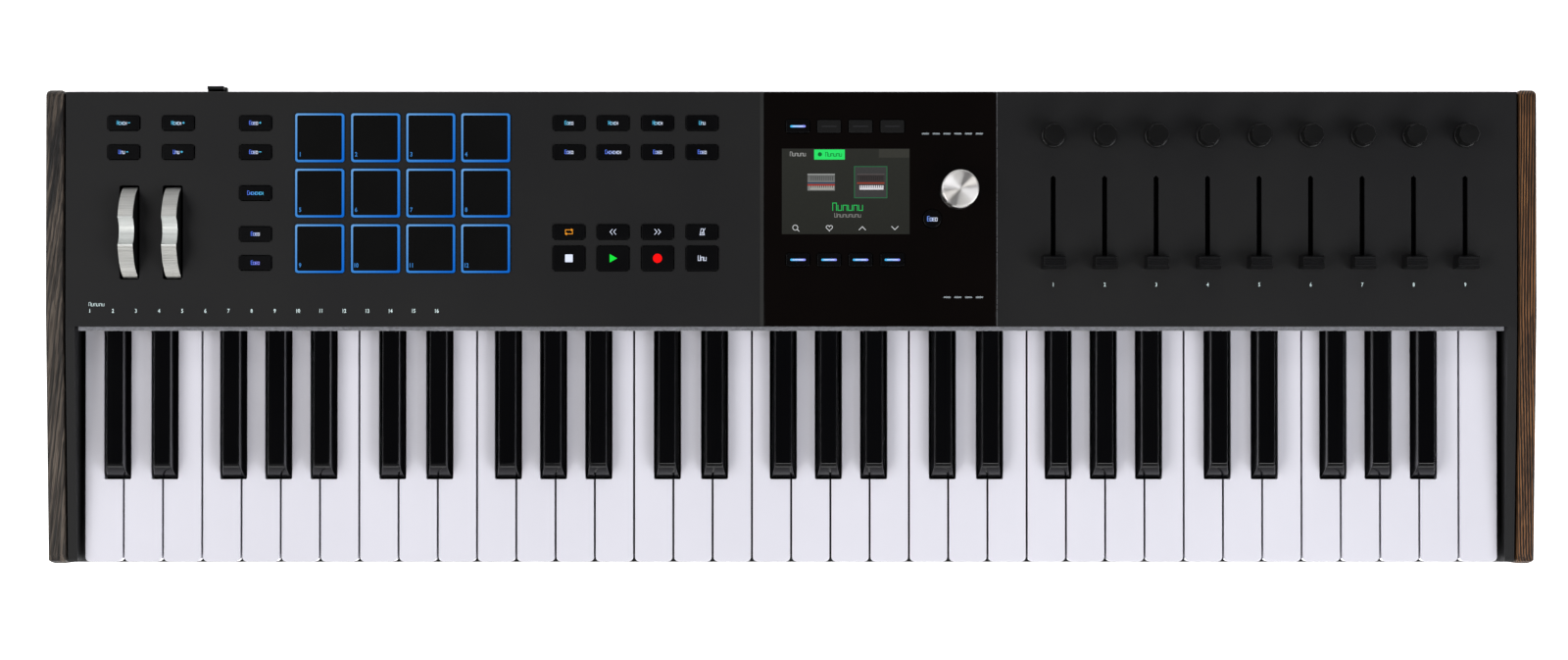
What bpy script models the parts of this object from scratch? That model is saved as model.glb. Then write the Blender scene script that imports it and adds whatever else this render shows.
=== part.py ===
"""61-key controller synthesizer with pads, faders, knobs, wheels and a display.

Run with:  blender --background --python part.py
Lengths are written in millimetres and turned into metres where a mesh is made.
X runs to the player's right, Y runs from the player to the rear, Z is up.
The outlines below measure Y from the front edge; CENTRE_Y moves the finished
pieces so that the origin is at the bottom centre of the whole object.
"""

import math

import bmesh
import bpy
from mathutils import Matrix, Vector

MM = 0.001

# ---------------------------------------------------------------- driving dimensions
FRONT_Y = 0.0
REAR_Y = 281.6                 # rear end of the wooden cheeks
HOOK_TIP_Y = 285.5             # tip of the rear cable hook
HOOK_X = -344.6
CENTRE_Y = HOOK_TIP_Y / 2

CHEEK_INNER = 432.4
CHEEK_OUTER = 442.7
PANEL_HALF = 431.2
ARM_INNER = 425.7
CASE_HALF = 432.1
PANEL_FRONT = 141.0
PANEL_REAR = 280.6
CASE_FRONT = 0.7
CASE_REAR = 280.3

FOOT_TOP = 3.7
CASE_BOTTOM = 4.0
CASE_FLOOR = 6.5
PANEL_UNDER = 53.4
PANEL_TOP = 56.0
CHEEK_TOP = 58.0
CHEEK_FRONT_TOP = 47.5
ARM_FRONT_TOP = 45.5

GAP = 0.3                      # gap left between pieces that touch

# keys
OCTAVES = 5
KEY_PITCH = 23.5
KEY_GAP = 1.1
WHITES_PER_OCTAVE = 7
KEYS_LEFT = -18 * KEY_PITCH
OCTAVE_WIDTH = WHITES_PER_OCTAVE * KEY_PITCH
BLACK_CENTRES = (20.0, 48.2, 89.3, 116.3, 143.4)
BLACK_AFTER_WHITE = (0, 1, 3, 4, 5)
NOTCH_HALF = 7.95
NOTCH_FRONT = 50.4
WHITE_TOP = 38.0
WHITE_UNDER = 29.0
WHITE_FRONT = 0.3
LIP_UNDER = 21.5
KEY_CORNER = 2.0
BLACK_FRONT = 51.6
BLACK_SLOPE = 8.1
BLACK_TOP = 49.5
BLACK_UNDER = 31.0
BLACK_BASE_HALF = 6.85
BLACK_TOP_HALF = 4.9

# hinge rails of the three kinds of key comb: centre Y, and low and high Z
OUTER_RAIL = (148.0, WHITE_UNDER, WHITE_TOP)
INNER_RAIL = (155.0, 22.0, 28.2)
BLACK_RAIL = (162.0, 40.9, 47.0)
RAIL_HALF = 2.5
KEY_REAR = 143.5
OUTER_WHITES = (0, 2, 4, 6)
INNER_WHITES = (1, 3, 5)

# buttons: centre X, centre Y
BUTTON_SIZE = (18.9, 8.6)
TALL_BUTTON_SIZE = (18.9, 14.5)
SOFT_SIZE = (14.0, 7.6)
BUTTON_TOP = 57.2
WEB_LOW = 49.5
WEB_HIGH = 51.0
TRANSPOSE_X = (-396.6, -364.2)
UPPER_ROWS = (261.9, 244.6)
MODE_X = -318.3
MODE_ROWS = (261.9, 244.6, 220.3, 196.0, 178.8)
COMMAND_X = (-132.0, -105.8, -79.4, -52.9)
TRANSPORT_ROW = 197.2
STOP_ROW = 181.5
SOFT_X = (4.0, 22.5, 41.2, 60.1)
SOFT_ROWS = (259.9, 180.6)
BACK_XY = (83.8, 205.0)
BACK_RADIUS = 5.5
HOLE_CLEARANCE = 0.3

# pads
PAD_X = (-280.2, -247.0, -214.2, -181.6)
PAD_Y = (253.2, 220.3, 187.3)
PAD_SIZE = 28.9
PAD_TOP = 58.2

# display and its glass
GLASS_X = (-16.0, 121.7)
GLASS_LOW = 54.9
RECESS_FLOOR = 54.6
SCREEN_CENTRE = (32.4, 221.3)
SCREEN_SIZE = (75.9, 50.8)

# encoder
ENCODER_XY = (100.1, 222.4)
ENCODER_RADIUS = 11.1
ENCODER_TOP = 70.0
SHAFT_RADIUS = 3.0

# knobs and faders
COLUMN_X0 = 155.7
COLUMN_PITCH = 30.6
COLUMNS = 9
KNOB_Y = 254.3
KNOB_TOP = 72.0
FADER_Y = 179.0
SLOT_HALF = 1.45
SLOT_FRONT = 176.0
SLOT_REAR = 230.8
CAP_SIZE = (14.5, 8.0)
CAP_TOP = 70.0

# wheels
WHEEL_X = (-393.2, -367.5)
WHEEL_Y = 197.0
WHEEL_Z = 45.5
WHEEL_RADIUS = 27.5
WHEEL_WIDTH = 9.0
WHEEL_SLOT = (11.8, 55.8)
SCOOP_RADIUS = 8.55
SCOOP_DEPTH = 6.4
AXLE_RADIUS = 2.1

# rear sockets
JACK_X = (8.0, 30.0, 52.0, 74.0)
JACK_RADIUS = 3.35
DIN_X = (-58.0, -28.0)
DIN_RADIUS = 7.6
SOCKET_Z = 29.0
BLOCK_LOW = 20.6
BLOCK_HIGH = 38.8

COLOURS = {
    "charcoal_plastic": ((0.022, 0.022, 0.023), 0.6, 0.0),
    "black_plastic": ((0.010, 0.010, 0.011), 0.5, 0.0),
    "wood": ((0.075, 0.050, 0.034), 0.55, 0.0),
    "white_key": ((0.78, 0.77, 0.82), 0.2, 0.0),
    "black_key": ((0.006, 0.006, 0.007), 0.15, 0.0),
    "metal": ((0.55, 0.55, 0.54), 0.35, 1.0),
    "felt": ((0.17, 0.17, 0.18), 0.95, 0.0),
    "glass": ((0.004, 0.004, 0.004), 0.08, 0.0),
    "rubber": ((0.007, 0.007, 0.007), 0.8, 0.0),
    "board": ((0.010, 0.060, 0.030), 0.5, 0.0),
}

for old in list(bpy.data.objects):
    bpy.data.objects.remove(old, do_unlink=True)

PARTS = bpy.data.collections.new("synthesizer")
bpy.context.scene.collection.children.link(PARTS)


# ---------------------------------------------------------------- helpers
def material(name):
    """The named finish, made once."""
    if name in bpy.data.materials:
        return bpy.data.materials[name]
    colour, roughness, metallic = COLOURS[name]
    finish = bpy.data.materials.new(name)
    finish.use_nodes = True
    shader = finish.node_tree.nodes["Principled BSDF"]
    shader.inputs["Base Color"].default_value = (*colour, 1.0)
    shader.inputs["Roughness"].default_value = roughness
    shader.inputs["Metallic"].default_value = metallic
    return finish


def piece_from(name, bm):
    """An object that holds a bmesh, in the parts' collection."""
    bmesh.ops.recalc_face_normals(bm, faces=bm.faces)
    mesh = bpy.data.meshes.new(name)
    bm.to_mesh(mesh)
    bm.free()
    obj = bpy.data.objects.new(name, mesh)
    PARTS.objects.link(obj)
    return obj


def box(low, high, name="box"):
    """A box between two corners, in millimetres."""
    bm = bmesh.new()
    bmesh.ops.create_cube(bm, size=1.0)
    low = Vector(low) * MM
    high = Vector(high) * MM
    bmesh.ops.transform(bm, matrix=Matrix.Diagonal((*(high - low), 1.0)), verts=bm.verts)
    bmesh.ops.translate(bm, vec=(low + high) / 2, verts=bm.verts)
    return piece_from(name, bm)


def cylinder(centre, radius, length, axis="Z", segments=24, name="cylinder"):
    """A capped cylinder about its centre, along one world axis."""
    bm = bmesh.new()
    bmesh.ops.create_cone(bm, cap_ends=True, segments=segments, radius1=radius * MM,
                          radius2=radius * MM, depth=length * MM)
    turns = {"Z": Matrix.Identity(4), "X": Matrix.Rotation(math.pi / 2, 4, "Y"),
             "Y": Matrix.Rotation(math.pi / 2, 4, "X")}
    bmesh.ops.transform(bm, matrix=turns[axis], verts=bm.verts)
    bmesh.ops.translate(bm, vec=Vector(centre) * MM, verts=bm.verts)
    return piece_from(name, bm)


def prism(outline, low, high, name="prism", side_view=False):
    """A flat outline filled and extruded; side_view outlines hold (Y, Z) and extrude along X."""
    curve = bpy.data.curves.new(name, "CURVE")
    curve.dimensions = "2D"
    curve.fill_mode = "BOTH"
    curve.extrude = (high - low) / 2 * MM
    spline = curve.splines.new("POLY")
    spline.points.add(len(outline) - 1)
    for point, (across, along) in zip(spline.points, outline):
        point.co = (across * MM, along * MM, 0.0, 1.0)
    spline.use_cyclic_u = True
    guide = bpy.data.objects.new(name, curve)
    PARTS.objects.link(guide)
    guide.location.z = (low + high) / 2 * MM
    if side_view:
        guide.location = ((low + high) / 2 * MM, 0.0, 0.0)
        guide.rotation_euler = (math.pi / 2, 0.0, math.pi / 2)
    bpy.context.view_layer.update()
    mesh = bpy.data.meshes.new_from_object(guide.evaluated_get(bpy.context.evaluated_depsgraph_get()))
    bm = bmesh.new()
    bm.from_mesh(mesh)
    bmesh.ops.transform(bm, matrix=guide.matrix_world, verts=bm.verts)
    bmesh.ops.remove_doubles(bm, verts=bm.verts, dist=1e-6)
    bpy.data.objects.remove(guide, do_unlink=True)
    return piece_from(name, bm)


def rounded(centre, size, radius, steps=3):
    """The outline of a rectangle with round corners."""
    points = []
    half_x = size[0] / 2 - radius
    half_y = size[1] / 2 - radius
    for quarter, (sx, sy) in enumerate(((1, 1), (-1, 1), (-1, -1), (1, -1))):
        for step in range(steps + 1):
            angle = (quarter + step / steps) * math.pi / 2
            points.append((centre[0] + sx * half_x + radius * math.cos(angle),
                           centre[1] + sy * half_y + radius * math.sin(angle)))
    return points


def joined(objects):
    """One object that holds the meshes of several that don't overlap."""
    bm = bmesh.new()
    for obj in objects:
        bm.from_mesh(obj.data)
        bpy.data.objects.remove(obj, do_unlink=True)
    return piece_from("joined", bm)


def boolean(target, other, operation):
    """Apply one Boolean to the target and remove the other object."""
    modifier = target.modifiers.new(operation, "BOOLEAN")
    modifier.operation = operation
    modifier.solver = "EXACT"
    modifier.object = other
    bpy.context.view_layer.update()
    evaluated = target.evaluated_get(bpy.context.evaluated_depsgraph_get())
    result = bpy.data.meshes.new_from_object(evaluated)
    target.modifiers.clear()
    target.data = result
    bpy.data.objects.remove(other, do_unlink=True)
    return target


def add(target, *others):
    """Union of the target with each other solid in turn."""
    for other in others:
        boolean(target, other, "UNION")
    return target


def cut(target, *others):
    """The target with each other solid taken out in turn."""
    for other in others:
        boolean(target, other, "DIFFERENCE")
    return target


def finished(obj, name, finish, pivot=None):
    """Name and dress a piece, and put its origin on its joint's axis or at its own centre."""
    obj.name = name
    obj.data.name = name
    obj.data.materials.clear()
    obj.data.materials.append(material(finish))
    obj.data.shade_smooth()
    obj.data.set_sharp_from_angle(angle=math.radians(35))
    corners = [Vector(corner) for corner in obj.bound_box]
    middle = sum(corners, Vector()) / len(corners)
    origin = Vector(pivot) * MM if pivot else middle
    obj.data.transform(Matrix.Translation(-origin))
    obj.location = origin - Vector((0.0, CENTRE_Y * MM, 0.0))
    return obj


def turned(profile, name, steps):
    """A solid of revolution about Z from (radius, z) points that run top to bottom."""
    mesh = bpy.data.meshes.new(name)
    points = [(radius * MM, 0.0, z * MM) for radius, z in profile]
    mesh.from_pydata(points, [(i, i + 1) for i in range(len(points) - 1)], [])
    obj = bpy.data.objects.new(name, mesh)
    PARTS.objects.link(obj)
    screw = obj.modifiers.new("screw", "SCREW")
    screw.steps = steps
    screw.render_steps = steps
    screw.use_merge_vertices = True
    screw.merge_threshold = 0.00001
    bpy.context.view_layer.update()
    evaluated = obj.evaluated_get(bpy.context.evaluated_depsgraph_get())
    result = bpy.data.meshes.new_from_object(evaluated)
    obj.modifiers.clear()
    obj.data = result
    return obj


def moved(obj, offset):
    """Move a piece's mesh by an offset in millimetres."""
    obj.data.transform(Matrix.Translation(Vector(offset) * MM))
    return obj


# ---------------------------------------------------------------- case
def build_case():
    """Bottom tray with sides, a low front wall, a rear wall with a socket window, and a hook."""
    low_side = ARM_FRONT_TOP - 16.0
    side = [(CASE_FRONT, CASE_BOTTOM), (CASE_REAR, CASE_BOTTOM), (CASE_REAR, PANEL_UNDER - GAP),
            (PANEL_FRONT + 1.0, PANEL_UNDER - GAP), (PANEL_FRONT + 1.0, low_side), (CASE_FRONT, low_side)]
    case = prism(side, -CASE_HALF, CASE_HALF, side_view=True)
    cavity = box((-ARM_INNER, 4.5, CASE_FLOOR), (ARM_INNER, CASE_REAR - 2.5, 80.0))
    front_cut = box((-ARM_INNER, -5.0, 9.8), (ARM_INNER, 5.0, 80.0))
    window = box((-81.0, 270.0, 19.5), (89.0, 290.0, 39.5))
    cut(case, cavity, front_cut, window)
    arm = box((HOOK_X - 5.8, CASE_REAR - 1.0, 27.0), (HOOK_X + 5.8, HOOK_TIP_Y, 32.0))
    lip = box((HOOK_X - 4.9, HOOK_TIP_Y - 2.2, 30.0), (HOOK_X + 4.9, HOOK_TIP_Y - 0.01, 40.0))
    add(case, arm, lip)
    finished(case, "bottom_case", "charcoal_plastic")


def build_panel():
    """Top shell: the control panel with its openings, and an arm beside each end of the keys."""
    panel = box((-PANEL_HALF, PANEL_FRONT, PANEL_UNDER), (PANEL_HALF, PANEL_REAR, PANEL_TOP))
    arm_low = ARM_FRONT_TOP - 15.7
    arm = [(1.0, arm_low), (1.0, ARM_FRONT_TOP - 1.5), (2.5, ARM_FRONT_TOP),
           (PANEL_FRONT - 8.0, PANEL_TOP - 0.7), (PANEL_FRONT, PANEL_TOP), (PANEL_FRONT + 0.5, PANEL_TOP),
           (PANEL_FRONT + 0.5, arm_low)]
    for side in (-1, 1):
        low, high = sorted((side * ARM_INNER, side * PANEL_HALF))
        add(panel, prism(arm, low, high, side_view=True))
    holes = []
    for x, y, size, corner in button_places():
        grown = (size[0] + 2 * HOLE_CLEARANCE, size[1] + 2 * HOLE_CLEARANCE)
        holes.append(prism(rounded((x, y), grown, corner + HOLE_CLEARANCE, 1), 40.0, 70.0))
    for x in PAD_X:
        for y in PAD_Y:
            size = PAD_SIZE + 2 * HOLE_CLEARANCE
            holes.append(prism(rounded((x, y), (size, size), 1.4, 1), 40.0, 70.0))
    for x in WHEEL_X:
        holes.append(prism(rounded((x, WHEEL_Y), WHEEL_SLOT, 0.8, 1), 40.0, 70.0))
    for i in range(COLUMNS):
        x = COLUMN_X0 + i * COLUMN_PITCH
        holes.append(cylinder((x, KNOB_Y, 55.0), 3.6, 30.0, segments=8))
        slot_size = (2 * SLOT_HALF, SLOT_REAR - SLOT_FRONT)
        holes.append(prism(rounded((x, (SLOT_FRONT + SLOT_REAR) / 2), slot_size, 1.4, 1), 40.0, 70.0))
    holes.append(cylinder((*BACK_XY, 55.0), BACK_RADIUS + HOLE_CLEARANCE, 30.0, segments=20))
    holes.append(cylinder((*ENCODER_XY, 55.0), SHAFT_RADIUS + 0.8, 30.0, segments=16))
    holes.append(prism(rounded(SCREEN_CENTRE, SCREEN_SIZE, 1.0, 1), 40.0, 70.0))
    cut(panel, joined(holes))
    recess = box((GLASS_X[0] - GAP, PANEL_FRONT - 5.0, RECESS_FLOOR),
                 (GLASS_X[1] + GAP, PANEL_REAR + 5.0, 70.0))
    cut(panel, recess)
    finished(panel, "top_panel", "charcoal_plastic")


def build_glass():
    """Black glass of the display area, with holes for its buttons and encoder."""
    glass = box((GLASS_X[0], PANEL_FRONT, GLASS_LOW), (GLASS_X[1], PANEL_REAR, PANEL_TOP))
    holes = []
    for x, y in soft_places():
        grown = (SOFT_SIZE[0] + 2 * HOLE_CLEARANCE, SOFT_SIZE[1] + 2 * HOLE_CLEARANCE)
        holes.append(prism(rounded((x, y), grown, 1.2, 1), 40.0, 70.0))
    holes.append(cylinder((*BACK_XY, 55.0), BACK_RADIUS + HOLE_CLEARANCE, 30.0, segments=20))
    holes.append(cylinder((*ENCODER_XY, 55.0), SHAFT_RADIUS + 0.8, 30.0, segments=16))
    cut(glass, joined(holes))
    finished(glass, "display_glass", "glass")


def build_cheeks():
    """Solid wood end cheeks: flat over the panel, sloping down beside the keys."""
    outline = [(FRONT_Y, CASE_BOTTOM + 2.0), (FRONT_Y + 2.0, CASE_BOTTOM), (REAR_Y, CASE_BOTTOM),
               (REAR_Y, CHEEK_TOP - 3.0), (REAR_Y - 3.0, CHEEK_TOP), (PANEL_FRONT + 9.0, CHEEK_TOP),
               (PANEL_FRONT - 9.0, CHEEK_TOP - 0.9), (6.0, CHEEK_FRONT_TOP), (1.8, CHEEK_FRONT_TOP - 1.7),
               (FRONT_Y, CHEEK_FRONT_TOP - 6.0)]
    for name, side in (("cheek_left", -1), ("cheek_right", 1)):
        low, high = sorted((side * CHEEK_INNER, side * CHEEK_OUTER))
        cheek = prism(outline, low, high, side_view=True)
        finished(cheek, name, "wood")


def build_feet():
    """Round rubber feet under the case, near its corners."""
    places = {"foot_front_left": (-390.0, 28.0), "foot_front_right": (390.0, 28.0),
              "foot_rear_left": (-390.0, 256.0), "foot_rear_right": (390.0, 256.0)}
    for name, (x, y) in places.items():
        foot = cylinder((x, y, FOOT_TOP / 2), 11.0, FOOT_TOP, segments=16)
        finished(foot, name, "rubber")


# ---------------------------------------------------------------- keys
def octave_left(octave):
    """X of the left edge of an octave's C."""
    return KEYS_LEFT + octave * OCTAVE_WIDTH


def white_span(octave, index):
    """X limits of a white key's front, and of its narrower part beside the black keys."""
    left = octave_left(octave) + index * KEY_PITCH + KEY_GAP / 2
    right = left + KEY_PITCH - KEY_GAP
    tail_left = left
    tail_right = right
    for centre, white in zip(BLACK_CENTRES, BLACK_AFTER_WHITE):
        if octave < OCTAVES and white == index:
            tail_right = octave_left(octave) + centre - NOTCH_HALF
        if octave < OCTAVES and white == index - 1:
            tail_left = octave_left(octave) + centre + NOTCH_HALF
    return left, right, tail_left, tail_right


def white_outline(octave, index, rear):
    """Plan of a white key, from its rounded front corners back to its rear end."""
    left, right, tail_left, tail_right = white_span(octave, index)
    corner = KEY_CORNER
    points = [(tail_left, rear), (tail_left, NOTCH_FRONT)]
    if tail_left > left:
        points.append((left, NOTCH_FRONT))
    points += [(left, WHITE_FRONT + corner), (left + 0.3 * corner, WHITE_FRONT + 0.3 * corner),
               (left + corner, WHITE_FRONT), (right - corner, WHITE_FRONT),
               (right - 0.3 * corner, WHITE_FRONT + 0.3 * corner), (right, WHITE_FRONT + corner)]
    if tail_right < right:
        points.append((right, NOTCH_FRONT))
    points += [(tail_right, NOTCH_FRONT), (tail_right, rear)]
    return points


def white_key(octave, index, rear):
    """A white key: its top plate and its front lip."""
    key = prism(white_outline(octave, index, rear), WHITE_UNDER, WHITE_TOP)
    left, right, _, _ = white_span(octave, index)
    lip = box((left + 1.6, WHITE_FRONT + 0.1, LIP_UNDER),
              (right - 1.6, WHITE_FRONT + 3.0, WHITE_UNDER + 1.0))
    return add(key, lip)


def rail(spans, rail_place):
    """The bar that joins a comb's keys along its hinge."""
    centre_y, low, high = rail_place
    left = min(span[2] for span in spans)
    right = max(span[3] for span in spans)
    return box((left, centre_y - RAIL_HALF, low), (right, centre_y + RAIL_HALF, high))


def build_outer_comb(octave):
    """Comb of the C, E, G and B keys."""
    spans = [white_span(octave, index) for index in OUTER_WHITES]
    comb = rail(spans, OUTER_RAIL)
    for index in OUTER_WHITES:
        add(comb, white_key(octave, index, OUTER_RAIL[0] - RAIL_HALF + 1.0))
    pivot = (sum(spans[0][:2]) / 2, OUTER_RAIL[0], (OUTER_RAIL[1] + OUTER_RAIL[2]) / 2)
    finished(comb, f"white_keys_ceg_b_octave_{octave + 1}", "white_key", pivot)


def build_inner_comb(octave):
    """Comb of the D, F and A keys, whose tails step down and pass under the other comb's rail."""
    spans = [white_span(octave, index) for index in INNER_WHITES]
    rail_y, low, high = INNER_RAIL
    comb = rail(spans, INNER_RAIL)
    for index, (_, _, left, right) in zip(INNER_WHITES, spans):
        tail = box((left, KEY_REAR - 14.0, low), (right, rail_y, high))
        step = box((left + 0.5, KEY_REAR - 13.0, low + 0.5),
                   (right - 0.5, KEY_REAR - 0.5, WHITE_UNDER + 1.0))
        add(comb, tail, step, white_key(octave, index, KEY_REAR))
    pivot = (sum(spans[0][:2]) / 2, rail_y, (low + high) / 2)
    finished(comb, f"white_keys_dfa_octave_{octave + 1}", "white_key", pivot)


def black_key(centre):
    """A black key's body, narrower at the top and sloped at the front."""
    bm = bmesh.new()
    bmesh.ops.create_cube(bm, size=1.0)
    for vert in bm.verts:
        is_top = vert.co.z > 0
        half = BLACK_TOP_HALF if is_top else BLACK_BASE_HALF
        front = BLACK_FRONT + (BLACK_SLOPE if is_top else 0.0)
        vert.co.x = (centre + math.copysign(half, vert.co.x)) * MM
        vert.co.y = (front if vert.co.y < 0 else KEY_REAR) * MM
        vert.co.z = (BLACK_TOP if is_top else BLACK_UNDER) * MM
    return piece_from("black_key", bm)


def build_black_comb(octave):
    """Comb of an octave's black keys, whose tails pass above the white keys' rails."""
    rail_y, low, high = BLACK_RAIL
    centres = [octave_left(octave) + centre for centre in BLACK_CENTRES]
    comb = box((centres[0] - 4.5, rail_y - RAIL_HALF, low),
               (centres[-1] + 4.5, rail_y + RAIL_HALF, high))
    for centre in centres:
        tail = box((centre - 4.0, KEY_REAR - 6.0, low), (centre + 4.0, rail_y, high - 0.5))
        add(comb, tail, black_key(centre))
    finished(comb, f"black_keys_octave_{octave + 1}", "black_key", (centres[0], rail_y, (low + high) / 2))


def build_top_key():
    """The single highest C."""
    key = white_key(OCTAVES, 0, OUTER_RAIL[0] + RAIL_HALF)
    left, right, _, _ = white_span(OCTAVES, 0)
    finished(key, "white_key_top_c", "white_key",
             ((left + right) / 2, OUTER_RAIL[0], (OUTER_RAIL[1] + OUTER_RAIL[2]) / 2))


def build_chassis():
    """Pressed frame under the keys, with the ribs and posts that carry the hinge rails."""
    half = 423.4
    plate = box((-half, 8.0, 12.0), (half, 167.0, 14.5))
    legs = [box((-half + 1, 18.0, CASE_FLOOR + GAP), (half - 1, 22.0, 13.0)),
            box((-half + 1, 150.0, CASE_FLOOR + GAP), (half - 1, 158.0, 13.0))]
    ribs = [box((-half + 1, 153.0, 13.5), (half - 1, 157.0, INNER_RAIL[1] - 0.6)),
            box((-half + 1, 159.5, 13.5), (half - 1, 166.0, BLACK_RAIL[1] - 0.6))]
    posts = []
    for octave in range(OCTAVES):
        for index in (0, 4):
            _, _, left, right = white_span(octave, index)
            posts.append(box((left + 1.0, 145.8, 13.5), (right - 1.0, 150.2, WHITE_UNDER - 0.6)))
    add(plate, *legs, *ribs, joined(posts))
    finished(plate, "key_chassis", "metal")


def build_felt():
    """Felt strip under the panel's front edge, just above the keys."""
    strip = box((-424.0, PANEL_FRONT - 2.7, 50.3), (424.0, PANEL_FRONT + 8.0, PANEL_UNDER - GAP))
    finished(strip, "felt_strip", "felt")


# ---------------------------------------------------------------- buttons and pads
def soft_places():
    """Centres of the soft buttons above and below the display."""
    return [(x, y) for y in SOFT_ROWS for x in SOFT_X]


def transpose_places():
    """Centre and size of the transpose and octave buttons."""
    return [(x, y, BUTTON_SIZE) for x in TRANSPOSE_X for y in UPPER_ROWS]


def mode_places():
    """Centre and size of the buttons in the mode column."""
    return [(MODE_X, y, BUTTON_SIZE) for y in MODE_ROWS]


def command_places():
    """Centre and size of the two rows of command buttons."""
    return [(x, y, BUTTON_SIZE) for x in COMMAND_X for y in UPPER_ROWS]


def transport_places():
    """Centre and size of the transport buttons, the front row being taller."""
    upper = [(x, TRANSPORT_ROW, BUTTON_SIZE) for x in COMMAND_X]
    return upper + [(x, STOP_ROW, TALL_BUTTON_SIZE) for x in COMMAND_X]


def button_places():
    """Every rectangular button: centre X, centre Y, size and corner radius."""
    places = transpose_places() + mode_places() + command_places() + transport_places()
    soft = [(x, y, SOFT_SIZE, 0.8) for x, y in soft_places()]
    return [(x, y, size, 1.0) for x, y, size in places] + soft


def build_button_set(name, places, webs, finish="black_plastic", round_button=None):
    """One moulded set: the buttons and the web that links them under the panel."""
    body = box((webs[0][0], webs[0][1], WEB_LOW), (webs[0][2], webs[0][3], WEB_HIGH))
    for x_low, y_low, x_high, y_high in webs[1:]:
        add(body, box((x_low, y_low, WEB_LOW), (x_high, y_high, WEB_HIGH)))
    keys = [prism(rounded((x, y), size, 0.9, 1), WEB_LOW + 0.5, BUTTON_TOP) for x, y, size in places]
    if round_button:
        keys.append(cylinder((*round_button, (WEB_LOW + BUTTON_TOP + 0.5) / 2), BACK_RADIUS,
                             BUTTON_TOP - WEB_LOW - 0.5, segments=20))
    add(body, joined(keys))
    x, y, _ = places[0]
    finished(body, name, finish, (x, y, BUTTON_TOP))


def build_buttons():
    """The five button sets."""
    build_button_set("transpose_octave_buttons", transpose_places(), [(-407.5, 238.5, -353.5, 268.0)])
    build_button_set("mode_buttons", mode_places(), [(-329.0, 173.0, -307.6, 268.0)])
    build_button_set("command_buttons", command_places(), [(-142.7, 238.5, -42.2, 268.0)])
    build_button_set("transport_buttons", transport_places(), [(-142.7, 172.6, -42.2, 203.0)])
    soft = [(x, y, SOFT_SIZE) for x, y in soft_places()]
    webs = [(-4.5, 254.6, 91.0, 265.2), (-4.5, 175.3, 91.0, 185.9), (77.0, 174.8, 90.4, 265.6)]
    build_button_set("display_buttons", soft, webs, round_button=BACK_XY)


def build_pads():
    """Silicone mat with the drum pads standing up through the panel."""
    half = PAD_SIZE / 2
    mat = box((PAD_X[0] - half - 1.0, PAD_Y[2] - half - 1.0, 49.0),
              (PAD_X[3] + half + 1.0, PAD_Y[0] + half + 1.0, 51.0))
    pads = []
    for x in PAD_X:
        for y in PAD_Y:
            pads.append(prism(rounded((x, y), (PAD_SIZE, PAD_SIZE), 1.2, 1), 50.0, PAD_TOP))
    add(mat, joined(pads))
    finished(mat, "drum_pad_mat", "rubber", (PAD_X[0], PAD_Y[0], PAD_TOP))


# ---------------------------------------------------------------- knobs, faders, wheels
def build_knobs():
    """Turned knobs with a wide skirt and a shaft through the panel."""
    profile = [(0.0, KNOB_TOP), (5.4, KNOB_TOP), (5.9, KNOB_TOP - 0.6), (6.4, PANEL_TOP + 4.4),
               (7.2, PANEL_TOP + 3.4), (7.2, PANEL_TOP + 0.6), (3.0, PANEL_TOP + 0.6), (3.0, 47.0),
               (0.0, 47.0)]
    for i in range(COLUMNS):
        x = COLUMN_X0 + i * COLUMN_PITCH
        knob = moved(turned(profile, "knob", 12), (x, KNOB_Y, 0.0))
        finished(knob, f"knob_{i + 1}", "black_plastic", (x, KNOB_Y, PANEL_TOP))


def build_faders():
    """Fader caps, each with its lever through the slot."""
    for i in range(COLUMNS):
        x = COLUMN_X0 + i * COLUMN_PITCH
        half_x, half_y = CAP_SIZE[0] / 2, CAP_SIZE[1] / 2
        cap = tapered_cap(x, half_x, half_y)
        lever = box((x - 1.0, FADER_Y - 2.0, 49.2), (x + 1.0, FADER_Y + 2.0, PANEL_TOP + 4.0))
        add(cap, lever)
        finished(cap, f"fader_{i + 1}", "black_plastic", (x, FADER_Y, PANEL_TOP))


def tapered_cap(x, half_x, half_y):
    """A fader cap: a block that narrows towards the top."""
    bm = bmesh.new()
    bmesh.ops.create_cube(bm, size=1.0)
    for vert in bm.verts:
        is_top = vert.co.z > 0
        inset = 0.9 if is_top else 0.0
        vert.co.x = (x + math.copysign(half_x - inset, vert.co.x)) * MM
        vert.co.y = (FADER_Y + math.copysign(half_y - inset, vert.co.y)) * MM
        vert.co.z = (CAP_TOP if is_top else PANEL_TOP + 1.0) * MM
    return piece_from("cap", bm)


def build_fader_board():
    """Circuit board behind the columns, with a guide for each fader lever."""
    board = box((141.0, 168.5, 43.4), (417.0, 268.0, 45.0))
    guides = []
    slots = []
    for i in range(COLUMNS):
        x = COLUMN_X0 + i * COLUMN_PITCH
        guides.append(box((x - 4.0, 172.5, 44.5), (x + 4.0, 234.5, 52.6)))
        slots.append(box((x - 1.5, 174.5, 48.8), (x + 1.5, 232.5, 60.0)))
    add(board, joined(guides))
    cut(board, joined(slots))
    finished(board, "fader_board", "board")


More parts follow.
